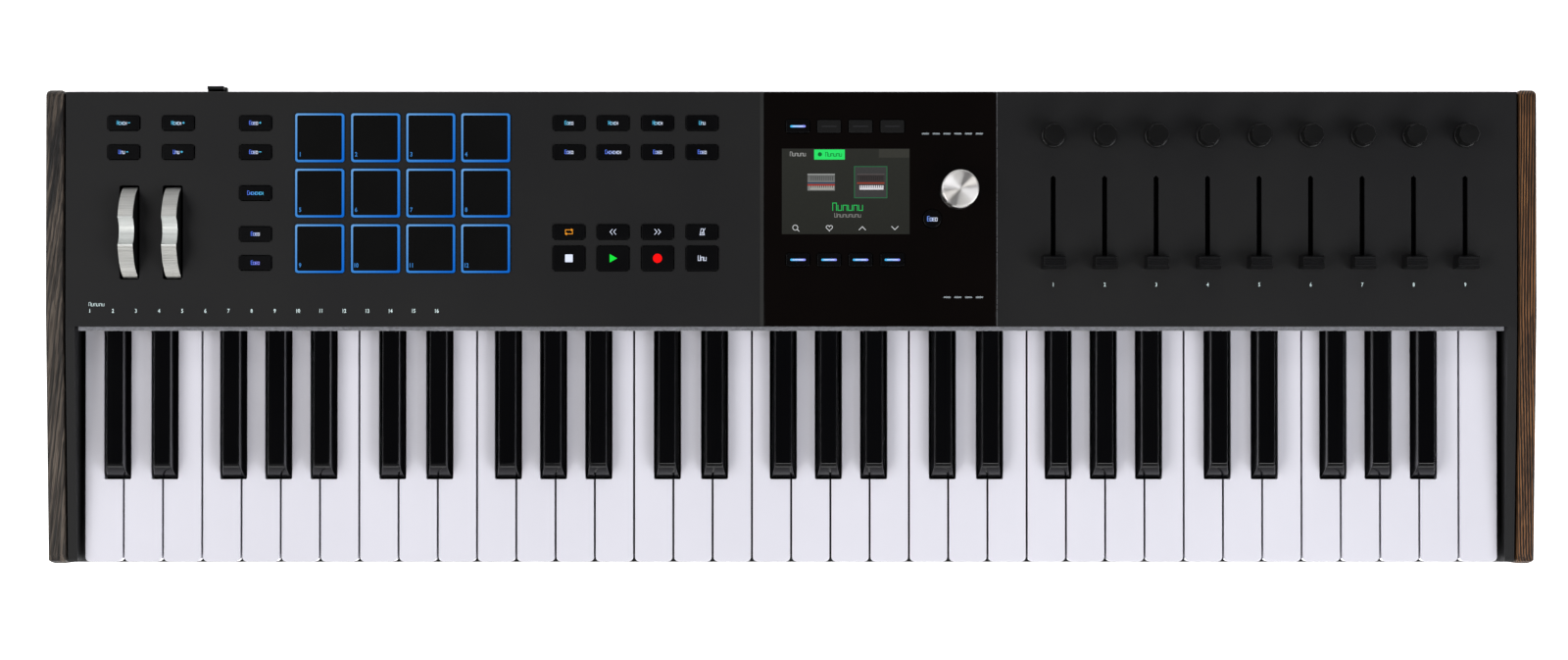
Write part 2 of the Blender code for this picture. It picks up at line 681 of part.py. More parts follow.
def build_wheels():
    """Pitch and modulation wheels with a thumb scoop, bored for the axle."""
    for name, x in zip(("pitch_wheel", "modulation_wheel"), WHEEL_X):
        wheel = cylinder((x, WHEEL_Y, WHEEL_Z), WHEEL_RADIUS, WHEEL_WIDTH, "X", 40)
        scoop_z = WHEEL_Z + WHEEL_RADIUS - SCOOP_DEPTH + SCOOP_RADIUS
        scoop = cylinder((x, WHEEL_Y, scoop_z), SCOOP_RADIUS, 30.0, "X", 32)
        bore = cylinder((x, WHEEL_Y, WHEEL_Z), AXLE_RADIUS + 0.25, 30.0, "X", 16)
        cut(wheel, scoop, bore)
        finished(wheel, name, "metal", (x, WHEEL_Y, WHEEL_Z))


def build_wheel_bracket():
    """Bracket below the panel that carries the wheels' axle."""
    y_low, y_high = WHEEL_Y - 12.0, WHEEL_Y + 12.0
    left = WHEEL_X[0] - WHEEL_WIDTH / 2 - 3.6
    right = WHEEL_X[1] + WHEEL_WIDTH / 2 + 3.6
    base = box((left, y_low, 13.6), (right, y_high, 16.2))
    sides = [box((left, y_low, 15.0), (left + 2.0, y_high, 52.6)),
             box((right - 2.0, y_low, 15.0), (right, y_high, 52.6)),
             box((-386.6, y_low, 15.0), (-374.1, y_high, 52.6))]
    axle = cylinder(((left + right) / 2, WHEEL_Y, WHEEL_Z), AXLE_RADIUS, right - left - 1.0, "X", 16)
    add(base, *sides, axle)
    finished(base, "wheel_bracket", "metal")


def build_encoder():
    """Push encoder: a shaft that is pushed down, and the knob that turns on it."""
    shaft = turned([(0.0, 65.6), (SHAFT_RADIUS, 65.6), (SHAFT_RADIUS, 51.0), (5.5, 51.0), (5.5, 46.0),
                    (0.0, 46.0)], "shaft", 16)
    moved(shaft, (*ENCODER_XY, 0.0))
    finished(shaft, "encoder_shaft", "metal", (*ENCODER_XY, PANEL_TOP))
    knob = turned([(0.0, ENCODER_TOP), (ENCODER_RADIUS - 0.8, ENCODER_TOP),
                   (ENCODER_RADIUS, ENCODER_TOP - 0.8), (ENCODER_RADIUS, PANEL_TOP + 1.2),
                   (SHAFT_RADIUS + GAP, PANEL_TOP + 1.2), (SHAFT_RADIUS + GAP, 66.0), (0.0, 66.0)],
                  "knob", 24)
    moved(knob, (*ENCODER_XY, 0.0))
    finished(knob, "encoder_knob", "metal", (*ENCODER_XY, PANEL_TOP))


# ---------------------------------------------------------------- electronics
def build_display():
    """Display module behind the glass."""
    x, y = SCREEN_CENTRE
    module = box((x - 42.0, y - 29.5, 46.0), (x + 42.0, y + 29.5, PANEL_UNDER - GAP))
    finished(module, "display_module", "black_plastic")


def build_main_board():
    """Main circuit board, behind the panel's middle and under the socket block."""
    board = box((-140.0, 214.0, 18.6), (130.0, 268.0, 20.2))
    finished(board, "main_board", "board")


def build_socket_block():
    """Row of sockets at the main board's rear edge: two five-pin ones and four jacks."""
    block = box((-80.0, 258.0, BLOCK_LOW), (88.0, CASE_REAR - 0.4, BLOCK_HIGH))
    bores = [cylinder((x, CASE_REAR - 7.0, SOCKET_Z), JACK_RADIUS, 20.0, "Y", 12) for x in JACK_X]
    bores += [cylinder((x, CASE_REAR, SOCKET_Z), DIN_RADIUS, 20.0, "Y", 16) for x in DIN_X]
    cut(block, joined(bores))
    finished(block, "socket_block", "black_plastic")


def build():
    """Make every piece."""
    build_case()
    build_panel()
    build_glass()
    build_cheeks()
    build_feet()
    build_chassis()
    build_felt()
    for octave in range(OCTAVES):
        build_outer_comb(octave)
        build_inner_comb(octave)
        build_black_comb(octave)
    build_top_key()
    build_buttons()
    build_pads()
    build_knobs()
    build_faders()
    build_fader_board()
    build_wheels()
    build_wheel_bracket()
    build_encoder()
    build_display()
    build_main_board()
    build_socket_block()


build()
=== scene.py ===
"""Looks of a 61-key synthesizer keyboard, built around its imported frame.

Sizes are in millimetres, as a maker would write them: X from the middle of the
keyboard, Y from the front edge of the cheeks, Z up from the table.
"""

import logging
import math
from dataclasses import dataclass, field
from enum import Enum
from typing import Callable, Dict, List, Optional, Sequence, Tuple

import bmesh
import bpy
from mathutils import Matrix, Vector, noise


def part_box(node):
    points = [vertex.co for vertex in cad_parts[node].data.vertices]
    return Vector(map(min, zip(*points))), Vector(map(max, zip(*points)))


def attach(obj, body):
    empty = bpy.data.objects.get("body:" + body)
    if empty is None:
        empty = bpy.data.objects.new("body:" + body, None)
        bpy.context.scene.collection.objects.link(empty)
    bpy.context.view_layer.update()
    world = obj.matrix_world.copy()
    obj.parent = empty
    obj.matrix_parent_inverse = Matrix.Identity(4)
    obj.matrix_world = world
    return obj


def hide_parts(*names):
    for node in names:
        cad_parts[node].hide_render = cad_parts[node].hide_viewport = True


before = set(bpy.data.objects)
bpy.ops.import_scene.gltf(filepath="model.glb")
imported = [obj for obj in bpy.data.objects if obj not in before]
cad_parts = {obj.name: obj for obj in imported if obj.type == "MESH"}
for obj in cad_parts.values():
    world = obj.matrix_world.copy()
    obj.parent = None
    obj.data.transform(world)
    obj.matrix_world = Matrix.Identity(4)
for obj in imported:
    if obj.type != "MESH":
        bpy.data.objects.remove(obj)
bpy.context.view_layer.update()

LOG = logging.getLogger("synthesizer")
MM = 0.001
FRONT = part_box("cheek_left")[0].y
PANEL_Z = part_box("top_panel")[1].z / MM
ROOT = "root"

Point2 = Tuple[float, float]
Point3 = Tuple[float, float, float]
Rgb = Tuple[float, float, float]


def linear(tone: Rgb) -> Rgb:
    """Linear colour of an 8-bit display tone."""
    return tuple((c / 255 / 12.92) if c <= 10 else ((c / 255 + 0.055) / 1.055) ** 2.4 for c in tone)


def scaled(tone: Rgb, factor: float) -> Rgb:
    """A tone made darker or brighter."""
    return tuple(min(255, c * factor) for c in tone)


def opaque(tone: Rgb) -> Tuple[float, float, float, float]:
    """Linear colour of a tone, with full alpha."""
    return (*linear(tone), 1.0)


def box_mm(node: str) -> Tuple[Vector, Vector]:
    """Corners of a CAD node in maker's millimetres.

    Args:
        node: the CAD node's name.

    Returns:
        Its lowest and highest corner, with Y measured from the front edge.
    """
    low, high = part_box(node)
    shift = Vector((0.0, FRONT, 0.0))
    return (low - shift) / MM, (high - shift) / MM


def middle_of(node: str) -> Point2:
    """X and Y of the middle of a CAD node."""
    low, high = box_mm(node)
    return (low.x + high.x) / 2, (low.y + high.y) / 2


# ------------------------------------------------------------------ finishes
class NodeSheet:
    """A material's node tree, with short ways to add and join nodes."""

    def __init__(self, name: str) -> None:
        """Start a material with one Principled shader."""
        self.material = bpy.data.materials.new(name)
        self.material.use_nodes = True
        self.tree = self.material.node_tree
        self.shader = self.tree.nodes["Principled BSDF"]

    def add(self, kind: str, inputs: Optional[Dict[object, object]] = None,
            **settings: object) -> bpy.types.Node:
        """Add a node.

        Args:
            kind: node type without the leading ShaderNode.
            inputs: socket name or number to a value, or to another node's output socket.
            settings: the node's own properties.

        Returns:
            The new node.
        """
        node = self.tree.nodes.new("ShaderNode" + kind)
        for key, value in settings.items():
            setattr(node, key, value)
        for key, value in (inputs or {}).items():
            self.feed(node.inputs[key], value)
        return node

    def feed(self, socket: bpy.types.NodeSocket, value: object) -> None:
        """Set a socket, or link an output socket to it."""
        if isinstance(value, bpy.types.NodeSocket):
            self.tree.links.new(value, socket)
        else:
            socket.default_value = value

    def shade(self, **inputs: object) -> None:
        """Set the Principled shader's sockets; an underscore stands for a space."""
        for key, value in inputs.items():
            self.feed(self.shader.inputs[key.replace("_", " ")], value)

    def place(self, scale: Point3 = (1.0, 1.0, 1.0), turn: Point3 = (0.0, 0.0, 0.0)) -> bpy.types.NodeSocket:
        """Object coordinates, turned and then scaled."""
        where = self.add("TexCoord").outputs["Object"]
        turned = self.add("Mapping", {"Vector": where, "Rotation": turn}).outputs["Vector"]
        return self.add("Mapping", {"Vector": turned, "Scale": scale}).outputs["Vector"]

    def noise(self, vector: bpy.types.NodeSocket, scale: float, detail: float = 3.0,
              distortion: float = 0.0) -> bpy.types.NodeSocket:
        """Noise between 0 and 1."""
        return self.add("TexNoise", {"Vector": vector, "Scale": scale, "Detail": detail,
                                     "Distortion": distortion}).outputs["Fac"]

    def ramp(self, value: bpy.types.NodeSocket, low: float, high: float, start: float = 0.0,
             end: float = 1.0) -> bpy.types.NodeSocket:
        """Value stretched from low..high to start..end and held there."""
        made = self.add("MapRange", {"Value": value, "From Min": low, "From Max": high, "To Min": start,
                                     "To Max": end})
        return made.outputs["Result"]

    def mix(self, share: object, first: object, second: object, blend: str = "MIX") -> bpy.types.NodeSocket:
        """Mix of two colours."""
        made = self.add("Mix", data_type="RGBA", blend_type=blend)
        self.feed(made.inputs[0], share)
        self.feed(made.inputs[6], first)
        self.feed(made.inputs[7], second)
        return made.outputs[2]

    def bump(self, height: bpy.types.NodeSocket, strength: float, distance: float) -> bpy.types.NodeSocket:
        """Normal raised by a height, with the distance in millimetres."""
        made = self.add("Bump", {"Height": height, "Strength": strength, "Distance": distance * MM})
        return made.outputs["Normal"]


@dataclass(frozen=True)
class Finish:
    """A moulded, painted or cast surface: two close tones, a slow mottle and a fine grain."""

    name: str
    tone: Rgb
    second: Rgb
    roughness: float = 0.5
    spread: float = 0.08
    metallic: float = 0.0
    specular: float = 0.5
    mottle: float = 30.0
    grain: float = 2500.0
    relief: float = 0.02

    def material(self) -> bpy.types.Material:
        """The finish as a material, made once."""
        name = f"finish_{self.name}"
        if name in bpy.data.materials:
            return bpy.data.materials[name]
        sheet = NodeSheet(name)
        self.dress(sheet)
        return sheet.material

    def tones(self, sheet: NodeSheet, share: bpy.types.NodeSocket) -> bpy.types.NodeSocket:
        """Mix of the finish's two tones."""
        return sheet.mix(share, opaque(self.tone), opaque(self.second))

    def varied(self, sheet: NodeSheet, value: bpy.types.NodeSocket, low: float,
               high: float) -> bpy.types.NodeSocket:
        """Roughness that follows a value over the finish's spread."""
        half = self.spread / 2
        return sheet.ramp(value, low, high, self.roughness - half, self.roughness + half)

    def dress(self, sheet: NodeSheet) -> None:
        """Fill the node tree."""
        where = sheet.place()
        slow = sheet.noise(where, self.mottle, 4.0)
        fine = sheet.noise(where, self.grain, 2.0)
        sheet.shade(Base_Color=self.tones(sheet, sheet.ramp(slow, 0.3, 0.7)),
                    Roughness=self.varied(sheet, slow, 0.25, 0.75), Metallic=self.metallic,
                    Specular_IOR_Level=self.specular, Normal=sheet.bump(fine, 0.6, self.relief))


PORE = (12.0, 10.0, 8.0)


@dataclass(frozen=True)
class WoodFinish(Finish):
    """Open-grained wood along Y: broad dark streaks, growth lines and fine pores."""

    streak: Rgb = (30.0, 24.0, 20.0)
    slant: float = 0.0
    amount: float = 0.5
    roll: float = 0.0
    band: float = 0.0017
    wander: float = 3.0
    contrast: float = 0.8

    def dress(self, sheet: NodeSheet) -> None:
        """Fill the node tree."""
        turn = (0.0, self.roll, self.slant)
        broad = sheet.place((1.0, 0.09, 1.0), turn)
        fine = sheet.place((1.0, 0.03, 1.0), turn)
        warm = sheet.ramp(sheet.noise(broad, 160.0, 4.0, 0.6), 0.35, 0.65)
        patches = sheet.ramp(sheet.noise(broad, 130.0, 4.0, 0.9), 0.60 - 0.1 * self.amount, 0.61)
        bands = sheet.add("TexWave", {"Vector": broad, "Scale": 0.314 / self.band, "Distortion": self.wander,
                                      "Detail": 3.0, "Detail Scale": 1.2, "Detail Roughness": 0.6},
                          bands_direction="X").outputs["Fac"]
        rings = sheet.ramp(bands, 0.32, 0.68)
        pits = sheet.ramp(sheet.noise(fine, 1900.0, 2.0), 0.5, 0.6)
        dark = opaque(self.streak)
        colour = self.tones(sheet, warm)
        for value, most, tone in ((rings, self.contrast, dark), (patches, 0.9 * self.amount, dark),
                                  (pits, 0.55, opaque(PORE))):
            colour = sheet.mix(sheet.ramp(value, 0.0, 1.0, 0.0, most), colour, tone)
        relief = sheet.add("Math", {0: rings, 1: pits}, operation="ADD").outputs[0]
        down = sheet.add("Math", {0: 2.0, 1: relief}, operation="SUBTRACT").outputs[0]
        rough = sheet.ramp(pits, 0.0, 1.0, self.roughness - 0.06, self.roughness + 0.2)
        sheet.shade(Base_Color=colour, Roughness=rough, Specular_IOR_Level=self.specular,
                    Normal=sheet.bump(down, 0.5, self.relief))


@dataclass(frozen=True)
class FeltFinish(Finish):
    """Pressed felt: clumped fibres with a soft sheen."""

    def dress(self, sheet: NodeSheet) -> None:
        """Fill the node tree."""
        where = sheet.place((1.0, 1.6, 1.0))
        clumps = sheet.noise(where, 420.0, 5.0, 0.8)
        hairs = sheet.noise(where, 2600.0, 3.0, 1.5)
        share = sheet.mix(0.5, clumps, hairs)
        sheet.shade(Base_Color=self.tones(sheet, sheet.ramp(share, 0.35, 0.65)), Roughness=0.95,
                    Sheen_Weight=0.35, Sheen_Roughness=0.6, Specular_IOR_Level=0.15,
                    Normal=sheet.bump(share, 1.0, 0.35))


@dataclass(frozen=True)
class TurnedMetal(Finish):
    """Satin metal with fine tool marks: a streak pattern stretched along one axis."""

    stretch: Point3 = (0.02, 1.0, 1.0)
    marks: float = 1400.0

    def dress(self, sheet: NodeSheet) -> None:
        """Fill the node tree."""
        along = sheet.place(self.stretch)
        marks = sheet.noise(along, self.marks, 3.0)
        slow = sheet.noise(along, 90.0, 2.0)
        share = sheet.mix(0.75, slow, marks)
        sheet.shade(Base_Color=self.tones(sheet, sheet.ramp(share, 0.35, 0.65)),
                    Roughness=self.varied(sheet, marks, 0.3, 0.7), Metallic=self.metallic,
                    Specular_IOR_Level=self.specular, Normal=sheet.bump(marks, 0.5, self.relief))


@dataclass(frozen=True)
class SpunMetal(Finish):
    """Face-turned metal whose rings run round the piece's own polar UV map."""

    def dress(self, sheet: NodeSheet) -> None:
        """Fill the node tree."""
        polar = sheet.add("UVMap", uv_map="polar").outputs["UV"]
        tangent = sheet.add("Tangent", direction_type="UV_MAP", uv_map="polar").outputs["Tangent"]
        stretched = sheet.add("Mapping", {"Vector": polar, "Scale": (0.0, 60.0, 1.0)}).outputs["Vector"]
        rings = sheet.noise(stretched, 5.0, 3.0)
        sheet.shade(Base_Color=self.tones(sheet, rings), Roughness=self.varied(sheet, rings, 0.3, 0.7),
                    Metallic=self.metallic, Anisotropic=1.0, Anisotropic_Rotation=0.25, Tangent=tangent,
                    Normal=sheet.bump(rings, 0.25, self.relief))


@dataclass(frozen=True)
class LitFinish(Finish):
    """Light seen through a thin diffuser: each vertex carries its own tint."""

    strength: float = 1.0

    def dress(self, sheet: NodeSheet) -> None:
        """Fill the node tree."""
        tint = sheet.add("VertexColor", layer_name="tint").outputs["Color"]
        cloud = sheet.ramp(sheet.noise(sheet.place(), 900.0, 2.0), 0.3, 0.7, 0.93, 1.0)
        glow = sheet.mix(1.0, tint, cloud, "MULTIPLY")
        sheet.shade(Base_Color=(0.002, 0.002, 0.002, 1.0), Roughness=0.35, Emission_Color=glow,
                    Emission_Strength=self.strength, Specular_IOR_Level=0.08)


PANEL_PLASTIC = Finish("charcoal_plastic", (22, 22, 23), (25, 25, 25), 0.5, 0.05, specular=0.16, relief=0.02,
                       grain=3200.0, mottle=12.0)
CASE_PLASTIC = Finish("case_plastic", (20, 20, 21), (25, 25, 26), 0.6, 0.08, specular=0.2, relief=0.06,
                      grain=1400.0)
BUTTON_PLASTIC = Finish("button_plastic", (5, 5, 6), (7, 7, 8), 0.36, 0.08, specular=0.07, relief=0.01)
SOFT_PLASTIC = Finish("smoked_plastic", (4, 4, 5), (6, 6, 7), 0.3, 0.06, specular=0.1, relief=0.008)
DIM_PLASTIC = Finish("grey_smoked_plastic", (20, 20, 20), (22, 22, 22), 0.45, 0.06, specular=0.08,
                     relief=0.01)
KNOB_PLASTIC = Finish("knob_plastic", (9, 9, 9), (12, 12, 12), 0.36, 0.08, specular=0.2, relief=0.015,
                      grain=2000.0)
CAP_PLASTIC = Finish("cap_plastic", (9, 9, 10), (12, 12, 13), 0.36, 0.08, specular=0.25, relief=0.02)
PAD_RUBBER = Finish("pad_rubber", (5, 5, 5), (8, 8, 8), 0.66, 0.06, specular=0.05, relief=0.03,
                    grain=1800.0)
FOOT_RUBBER = Finish("foot_rubber", (20, 20, 20), (28, 28, 28), 0.85, 0.08, specular=0.25, relief=0.1,
                     grain=900.0)
WHITE_KEY = Finish("white_key_plastic", (206, 205, 213), (211, 210, 218), 0.16, 0.05, relief=0.004,
                   mottle=9.0)
BLACK_KEY = Finish("black_key_plastic", (3, 3, 4), (5, 5, 6), 0.1, 0.04, specular=0.26, relief=0.003,
                   mottle=14.0)
GLASS = Finish("black_glass", (4, 2, 1), (6, 3, 2), 0.07, 0.03, specular=0.45, relief=0.001, mottle=18.0)
# painted shade: black side faces stand in for the shade on the wheels' flanks
WHEEL_SIDE_SHADE = Finish("wheel_side_painted_shade", (5, 5, 5), (8, 8, 8), 0.6, 0.08, specular=0.15, relief=0.02)
# painted highlight: this lighter tone stands in for light caught by the chamfer at the glass's left edge
EDGE_HIGHLIGHT_PLASTIC = Finish("painted_edge_highlight_plastic", (35, 35, 34), (38, 38, 37), 0.45, 0.05, specular=0.2, relief=0.01)
DARK_STEEL = Finish("blackened_steel", (20, 20, 22), (28, 28, 30), 0.5, 0.1, metallic=0.7, relief=0.02)
BOARD_GREEN = Finish("solder_mask", (16, 58, 38), (22, 70, 46), 0.4, 0.1, relief=0.05, grain=700.0)
SCREEN_BLACK = Finish("module_black", (12, 12, 13), (18, 18, 19), 0.4, 0.08)
SCREW_STEEL = TurnedMetal("screw_steel", (60, 60, 62), (84, 84, 86), 0.38, 0.1, metallic=0.9)
FERRULE = TurnedMetal("ferrule_steel", (150, 150, 152), (182, 182, 184), 0.3, 0.1, metallic=1.0)
WHEEL_METAL = TurnedMetal("satin_wheel_metal", (170, 170, 166), (198, 198, 194), 0.44, 0.1, metallic=0.5,
                          relief=0.01, marks=1800.0)
# polished scoop: its lower roughness is a real finish, its lighter tone a painted highlight where the scoop
# faces up
WHEEL_SCOOP_HIGHLIGHT = TurnedMetal("polished_scoop_painted_highlight", (196, 199, 196), (212, 215, 212), 0.36, 0.08, metallic=0.4,
                          relief=0.004)
SPUN_SILVER = SpunMetal("spun_silver", (232, 229, 225), (248, 246, 243), 0.42, 0.04, metallic=1.0,
                        relief=0.002)
WOOD_LEFT = WoodFinish("wood_left", (94, 84, 75), (64, 57, 50), specular=0.22, relief=0.12, slant=0.13,
                       streak=(14, 14, 15), amount=1.0, roll=0.5, band=0.0026, wander=8.0, contrast=0.7)
WOOD_RIGHT = WoodFinish("wood_right", (122, 84, 50), (88, 59, 36), specular=0.18, relief=0.12, slant=0.012,
                        streak=(12, 8, 5), amount=0.45, roll=0.55, band=0.0014, wander=1.8, contrast=1.0)
FELT = FeltFinish("grey_felt", (88, 89, 93), (134, 135, 141))
PRINT = Finish("pale_print", (186, 206, 206), (206, 224, 223), 0.6, 0.05, relief=0.004)
GREY_PRINT = Finish("grey_print", (112, 120, 124), (128, 136, 140), 0.6, 0.05, relief=0.004)
LIT = LitFinish("lit_mark", (0, 0, 0), (0, 0, 0), strength=1.08)
PICTURE = LitFinish("display_light", (0, 0, 0), (0, 0, 0), strength=0.92)


# ------------------------------------------------------------------ modelling
PRINT_TONE = (190, 208, 208)


def rounded(centre: Point2, size: Point2, radius: float, steps: int = 4) -> List[Point2]:
    """Outline of a rectangle with round corners, anticlockwise."""
    points = []
    half_x = size[0] / 2 - radius
    half_y = size[1] / 2 - radius
    for quarter, (side_x, side_y) in enumerate(((1, 1), (-1, 1), (-1, -1), (1, -1))):
        for step in range(steps + 1):
            angle = (quarter + step / steps) * math.pi / 2
            points.append((centre[0] + side_x * half_x + radius * math.cos(angle),
                           centre[1] + side_y * half_y + radius * math.sin(angle)))
    return points


class Shape:
    """A mesh being modelled in maker's millimetres, and the piece that it becomes."""

    def __init__(self) -> None:
        """Start empty."""
        self.bm = bmesh.new()
        self.tint = self.bm.verts.layers.float_color.new("tint")

    def box(self, low: Point3, high: Point3) -> List[bmesh.types.BMVert]:
        """Add a box between two corners."""
        low_v, high_v = Vector(low), Vector(high)
        verts = bmesh.ops.create_cube(self.bm, size=1.0)["verts"]
        bmesh.ops.transform(self.bm, matrix=Matrix.Diagonal((*(high_v - low_v), 1.0)), verts=verts)
        bmesh.ops.translate(self.bm, vec=(low_v + high_v) / 2, verts=verts)
        return verts

    def plate(self, outline: Sequence[Point2], low: float, high: float,
              side_view: bool = False) -> List[bmesh.types.BMVert]:
        """Add a flat outline extruded from low to high.

        Args:
            outline: (X, Y) points, or (Y, Z) points for a side view.
            low: where the extrusion starts, along Z or, for a side view, along X.
            high: where it ends.
            side_view: extrude along X.

        Returns:
            The new vertices.
        """
        if side_view:
            base = [self.bm.verts.new((low, a, b)) for a, b in outline]
            step = Vector((high - low, 0.0, 0.0))
        else:
            base = [self.bm.verts.new((a, b, low)) for a, b in outline]
            step = Vector((0.0, 0.0, high - low))
        face = self.bm.faces.new(base)
        made = bmesh.ops.extrude_face_region(self.bm, geom=[face], use_keep_orig=True)["geom"]
        top = [item for item in made if isinstance(item, bmesh.types.BMVert)]
        bmesh.ops.translate(self.bm, vec=step, verts=top)
        return base + top

    def turned(self, profile: Sequence[Point2], centre: Point2, steps: int = 48,
               lying: bool = False) -> List[bmesh.types.BMVert]:
        """Add a solid of revolution.

        Args:
            profile: (radius, height) points from one end of the axis to the other.
            centre: the axis's X and Y, or X and Z for a piece that lies along Y.
            steps: sides round the axis.
            lying: the axis runs along Y and heights are measured from the front.

        Returns:
            The new vertices.
        """
        before = set(self.bm.verts)
        edges = []
        last = None
        for radius, height in profile:
            vert = self.bm.verts.new((radius, 0.0, height))
            if last:
                edges.append(self.bm.edges.new((last, vert)))
            last = vert
        bmesh.ops.spin(self.bm, geom=edges + [v for v in self.bm.verts if v not in before], cent=(0, 0, 0),
                       axis=(0, 0, 1), dvec=(0, 0, 0), angle=math.tau, steps=steps, use_merge=True,
                       use_duplicate=False)
        made = [v for v in self.bm.verts if v not in before]
        bmesh.ops.remove_doubles(self.bm, verts=made, dist=1e-4)
        made = [v for v in self.bm.verts if v not in before]
        if lying:
            down = Matrix.Rotation(-math.pi / 2, 3, "X")
            bmesh.ops.rotate(self.bm, cent=(0, 0, 0), matrix=down, verts=made)
        move = (centre[0], 0.0, centre[1]) if lying else (centre[0], centre[1], 0.0)
        bmesh.ops.translate(self.bm, vec=move, verts=made)
        return made

    def stroke(self, points: Sequence[Point2], width: float, low: float, high: float, tone: Rgb) -> None:
        """Add a bent line of flat bars, tinted."""
        for (x0, y0), (x1, y1) in zip(points, points[1:]):
            length = math.hypot(x1 - x0, y1 - y0)
            half = (length + width) / 2
            verts = self.box((-half, -width / 2, low), (half, width / 2, high))
            turn = Matrix.Rotation(math.atan2(y1 - y0, x1 - x0), 3, "Z")
            bmesh.ops.rotate(self.bm, cent=(0, 0, 0), matrix=turn, verts=verts)
            bmesh.ops.translate(self.bm, vec=((x0 + x1) / 2, (y0 + y1) / 2, 0.0), verts=verts)
            self.paint(verts, tone)

    def paint(self, verts: Sequence[bmesh.types.BMVert], tone: Rgb, far: Optional[Rgb] = None,
              axis: int = 0) -> None:
        """Tint vertices with one tone, or from one to another along an axis."""
        low = min(v.co[axis] for v in verts)
        span = max(max(v.co[axis] for v in verts) - low, 1e-6)
        for vert in verts:
            share = (vert.co[axis] - low) / span
            mixed = [a + (b - a) * share for a, b in zip(tone, far or tone)]
            vert[self.tint] = opaque(mixed)

    def bevel(self, width: float, segments: int = 2, angle: float = 30.0,
              keep: Optional[Callable[[bmesh.types.BMEdge], bool]] = None) -> None:
        """Round the edges sharper than an angle, and only those that keep() takes."""
        self.bm.normal_update()
        limit = math.radians(angle)
        edges = [e for e in self.bm.edges if len(e.link_faces) == 2 and e.calc_face_angle(0.0) > limit
                 and (keep is None or keep(e))]
        bmesh.ops.bevel(self.bm, geom=edges, offset=width, offset_type="OFFSET", segments=segments,
                        profile=0.5, affect="EDGES", material=-1, clamp_overlap=False)

    def ease_top(self, width: float, segments: int = 3, angle: float = 50.0) -> None:
        """Round the sharp edges that lie at the very top."""
        top = max(v.co.z for v in self.bm.verts)
        self.bevel(width, segments, angle, lambda e: min(v.co.z for v in e.verts) > top - 0.01)

    def keep_within(self, node: str) -> None:
        """Hold every vertex inside a node's box."""
        low, high = box_mm(node)
        for vert in self.bm.verts:
            vert.co = Vector(max(a, min(b, c)) for a, b, c in zip(low, high, vert.co))

    def fresh(self) -> None:
        """Point every face outward."""
        bmesh.ops.recalc_face_normals(self.bm, faces=self.bm.faces)

    def piece(self, name: str, finish: Finish, body: str = ROOT, slot: str = "charcoal_plastic",
              replaces: Sequence[str] = (), smooth: float = 35.0, recalc: bool = True) -> bpy.types.Object:
        """Turn the shape into a finished piece that rides on a body.

        Args:
            name: the piece's name.
            finish: what it is made of.
            body: the CAD body that it moves with.
            slot: the record's material slot; not used.
            replaces: CAD nodes that it stands for.
            smooth: edges sharper than this angle stay sharp.
            recalc: point the faces outward first.

        Returns:
            The new object, at the origin, with its place in its mesh.
        """
        if recalc:
            self.fresh()
        bmesh.ops.scale(self.bm, vec=(MM, MM, MM), verts=self.bm.verts)
        bmesh.ops.translate(self.bm, vec=(0.0, FRONT, 0.0), verts=self.bm.verts)
        mesh = bpy.data.meshes.new(name)
        self.bm.to_mesh(mesh)
        self.bm.free()
        mesh.shade_smooth()
        mesh.set_sharp_from_angle(angle=math.radians(smooth))
        mesh.materials.append(finish.material())
        obj = bpy.data.objects.new(name, mesh)
        bpy.context.scene.collection.objects.link(obj)
        weighted = obj.modifiers.new("even_shading", "WEIGHTED_NORMAL")
        weighted.mode = "FACE_AREA"
        weighted.weight = 60
        weighted.keep_sharp = True
        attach(obj, body)
        if replaces:
            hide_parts(*replaces)
        LOG.info("%s on %s: %d faces", name, body, len(mesh.polygons))
        return obj


def from_cad(node: str, dissolve: float = 2.0) -> Shape:
    """A merged copy of a CAD node's mesh, with its flat faces whole again."""
    shape = Shape()
    shape.bm.free()
    shape.bm = bmesh.new()
    shape.bm.from_mesh(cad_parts[node].data)
    bmesh.ops.remove_doubles(shape.bm, verts=shape.bm.verts, dist=2e-6)
    bmesh.ops.translate(shape.bm, vec=(0.0, -FRONT, 0.0), verts=shape.bm.verts)
    bmesh.ops.scale(shape.bm, vec=(1 / MM, 1 / MM, 1 / MM), verts=shape.bm.verts)
    bmesh.ops.dissolve_limit(shape.bm, angle_limit=math.radians(dissolve), verts=shape.bm.verts,
                             edges=shape.bm.edges, use_dissolve_boundaries=False)
    shape.tint = shape.bm.verts.layers.float_color.new("tint")
    return shape


def lettering(text: str, centre: Point2, height: float, z: float) -> Tuple[bpy.types.Mesh, Matrix]:
    """A digit or two as a flat mesh, and the matrix that puts it in place.

    Args:
        text: the digits.
        centre: where their middle is.
        height: how tall a digit is.
        z: the height of the surface that they are printed on.

    Returns:
        The mesh at unit place, and its matrix in maker's millimetres.
    """
    curve = bpy.data.curves.new("digits", "FONT")
    curve.body = text
    curve.size = height / 0.73
    curve.align_x = "CENTER"
    curve.align_y = "CENTER"
    curve.offset = 0.03 * height
    curve.resolution_u = 3
    holder = bpy.data.objects.new("digits", curve)
    bpy.context.scene.collection.objects.link(holder)
    bpy.context.view_layer.update()
    mesh = bpy.data.meshes.new_from_object(holder.evaluated_get(bpy.context.evaluated_depsgraph_get()))
    bpy.data.objects.remove(holder, do_unlink=True)
    return mesh, Matrix.Translation((centre[0], centre[1], z)) @ Matrix.Diagonal((0.82, 1.0, 1.0, 1.0))


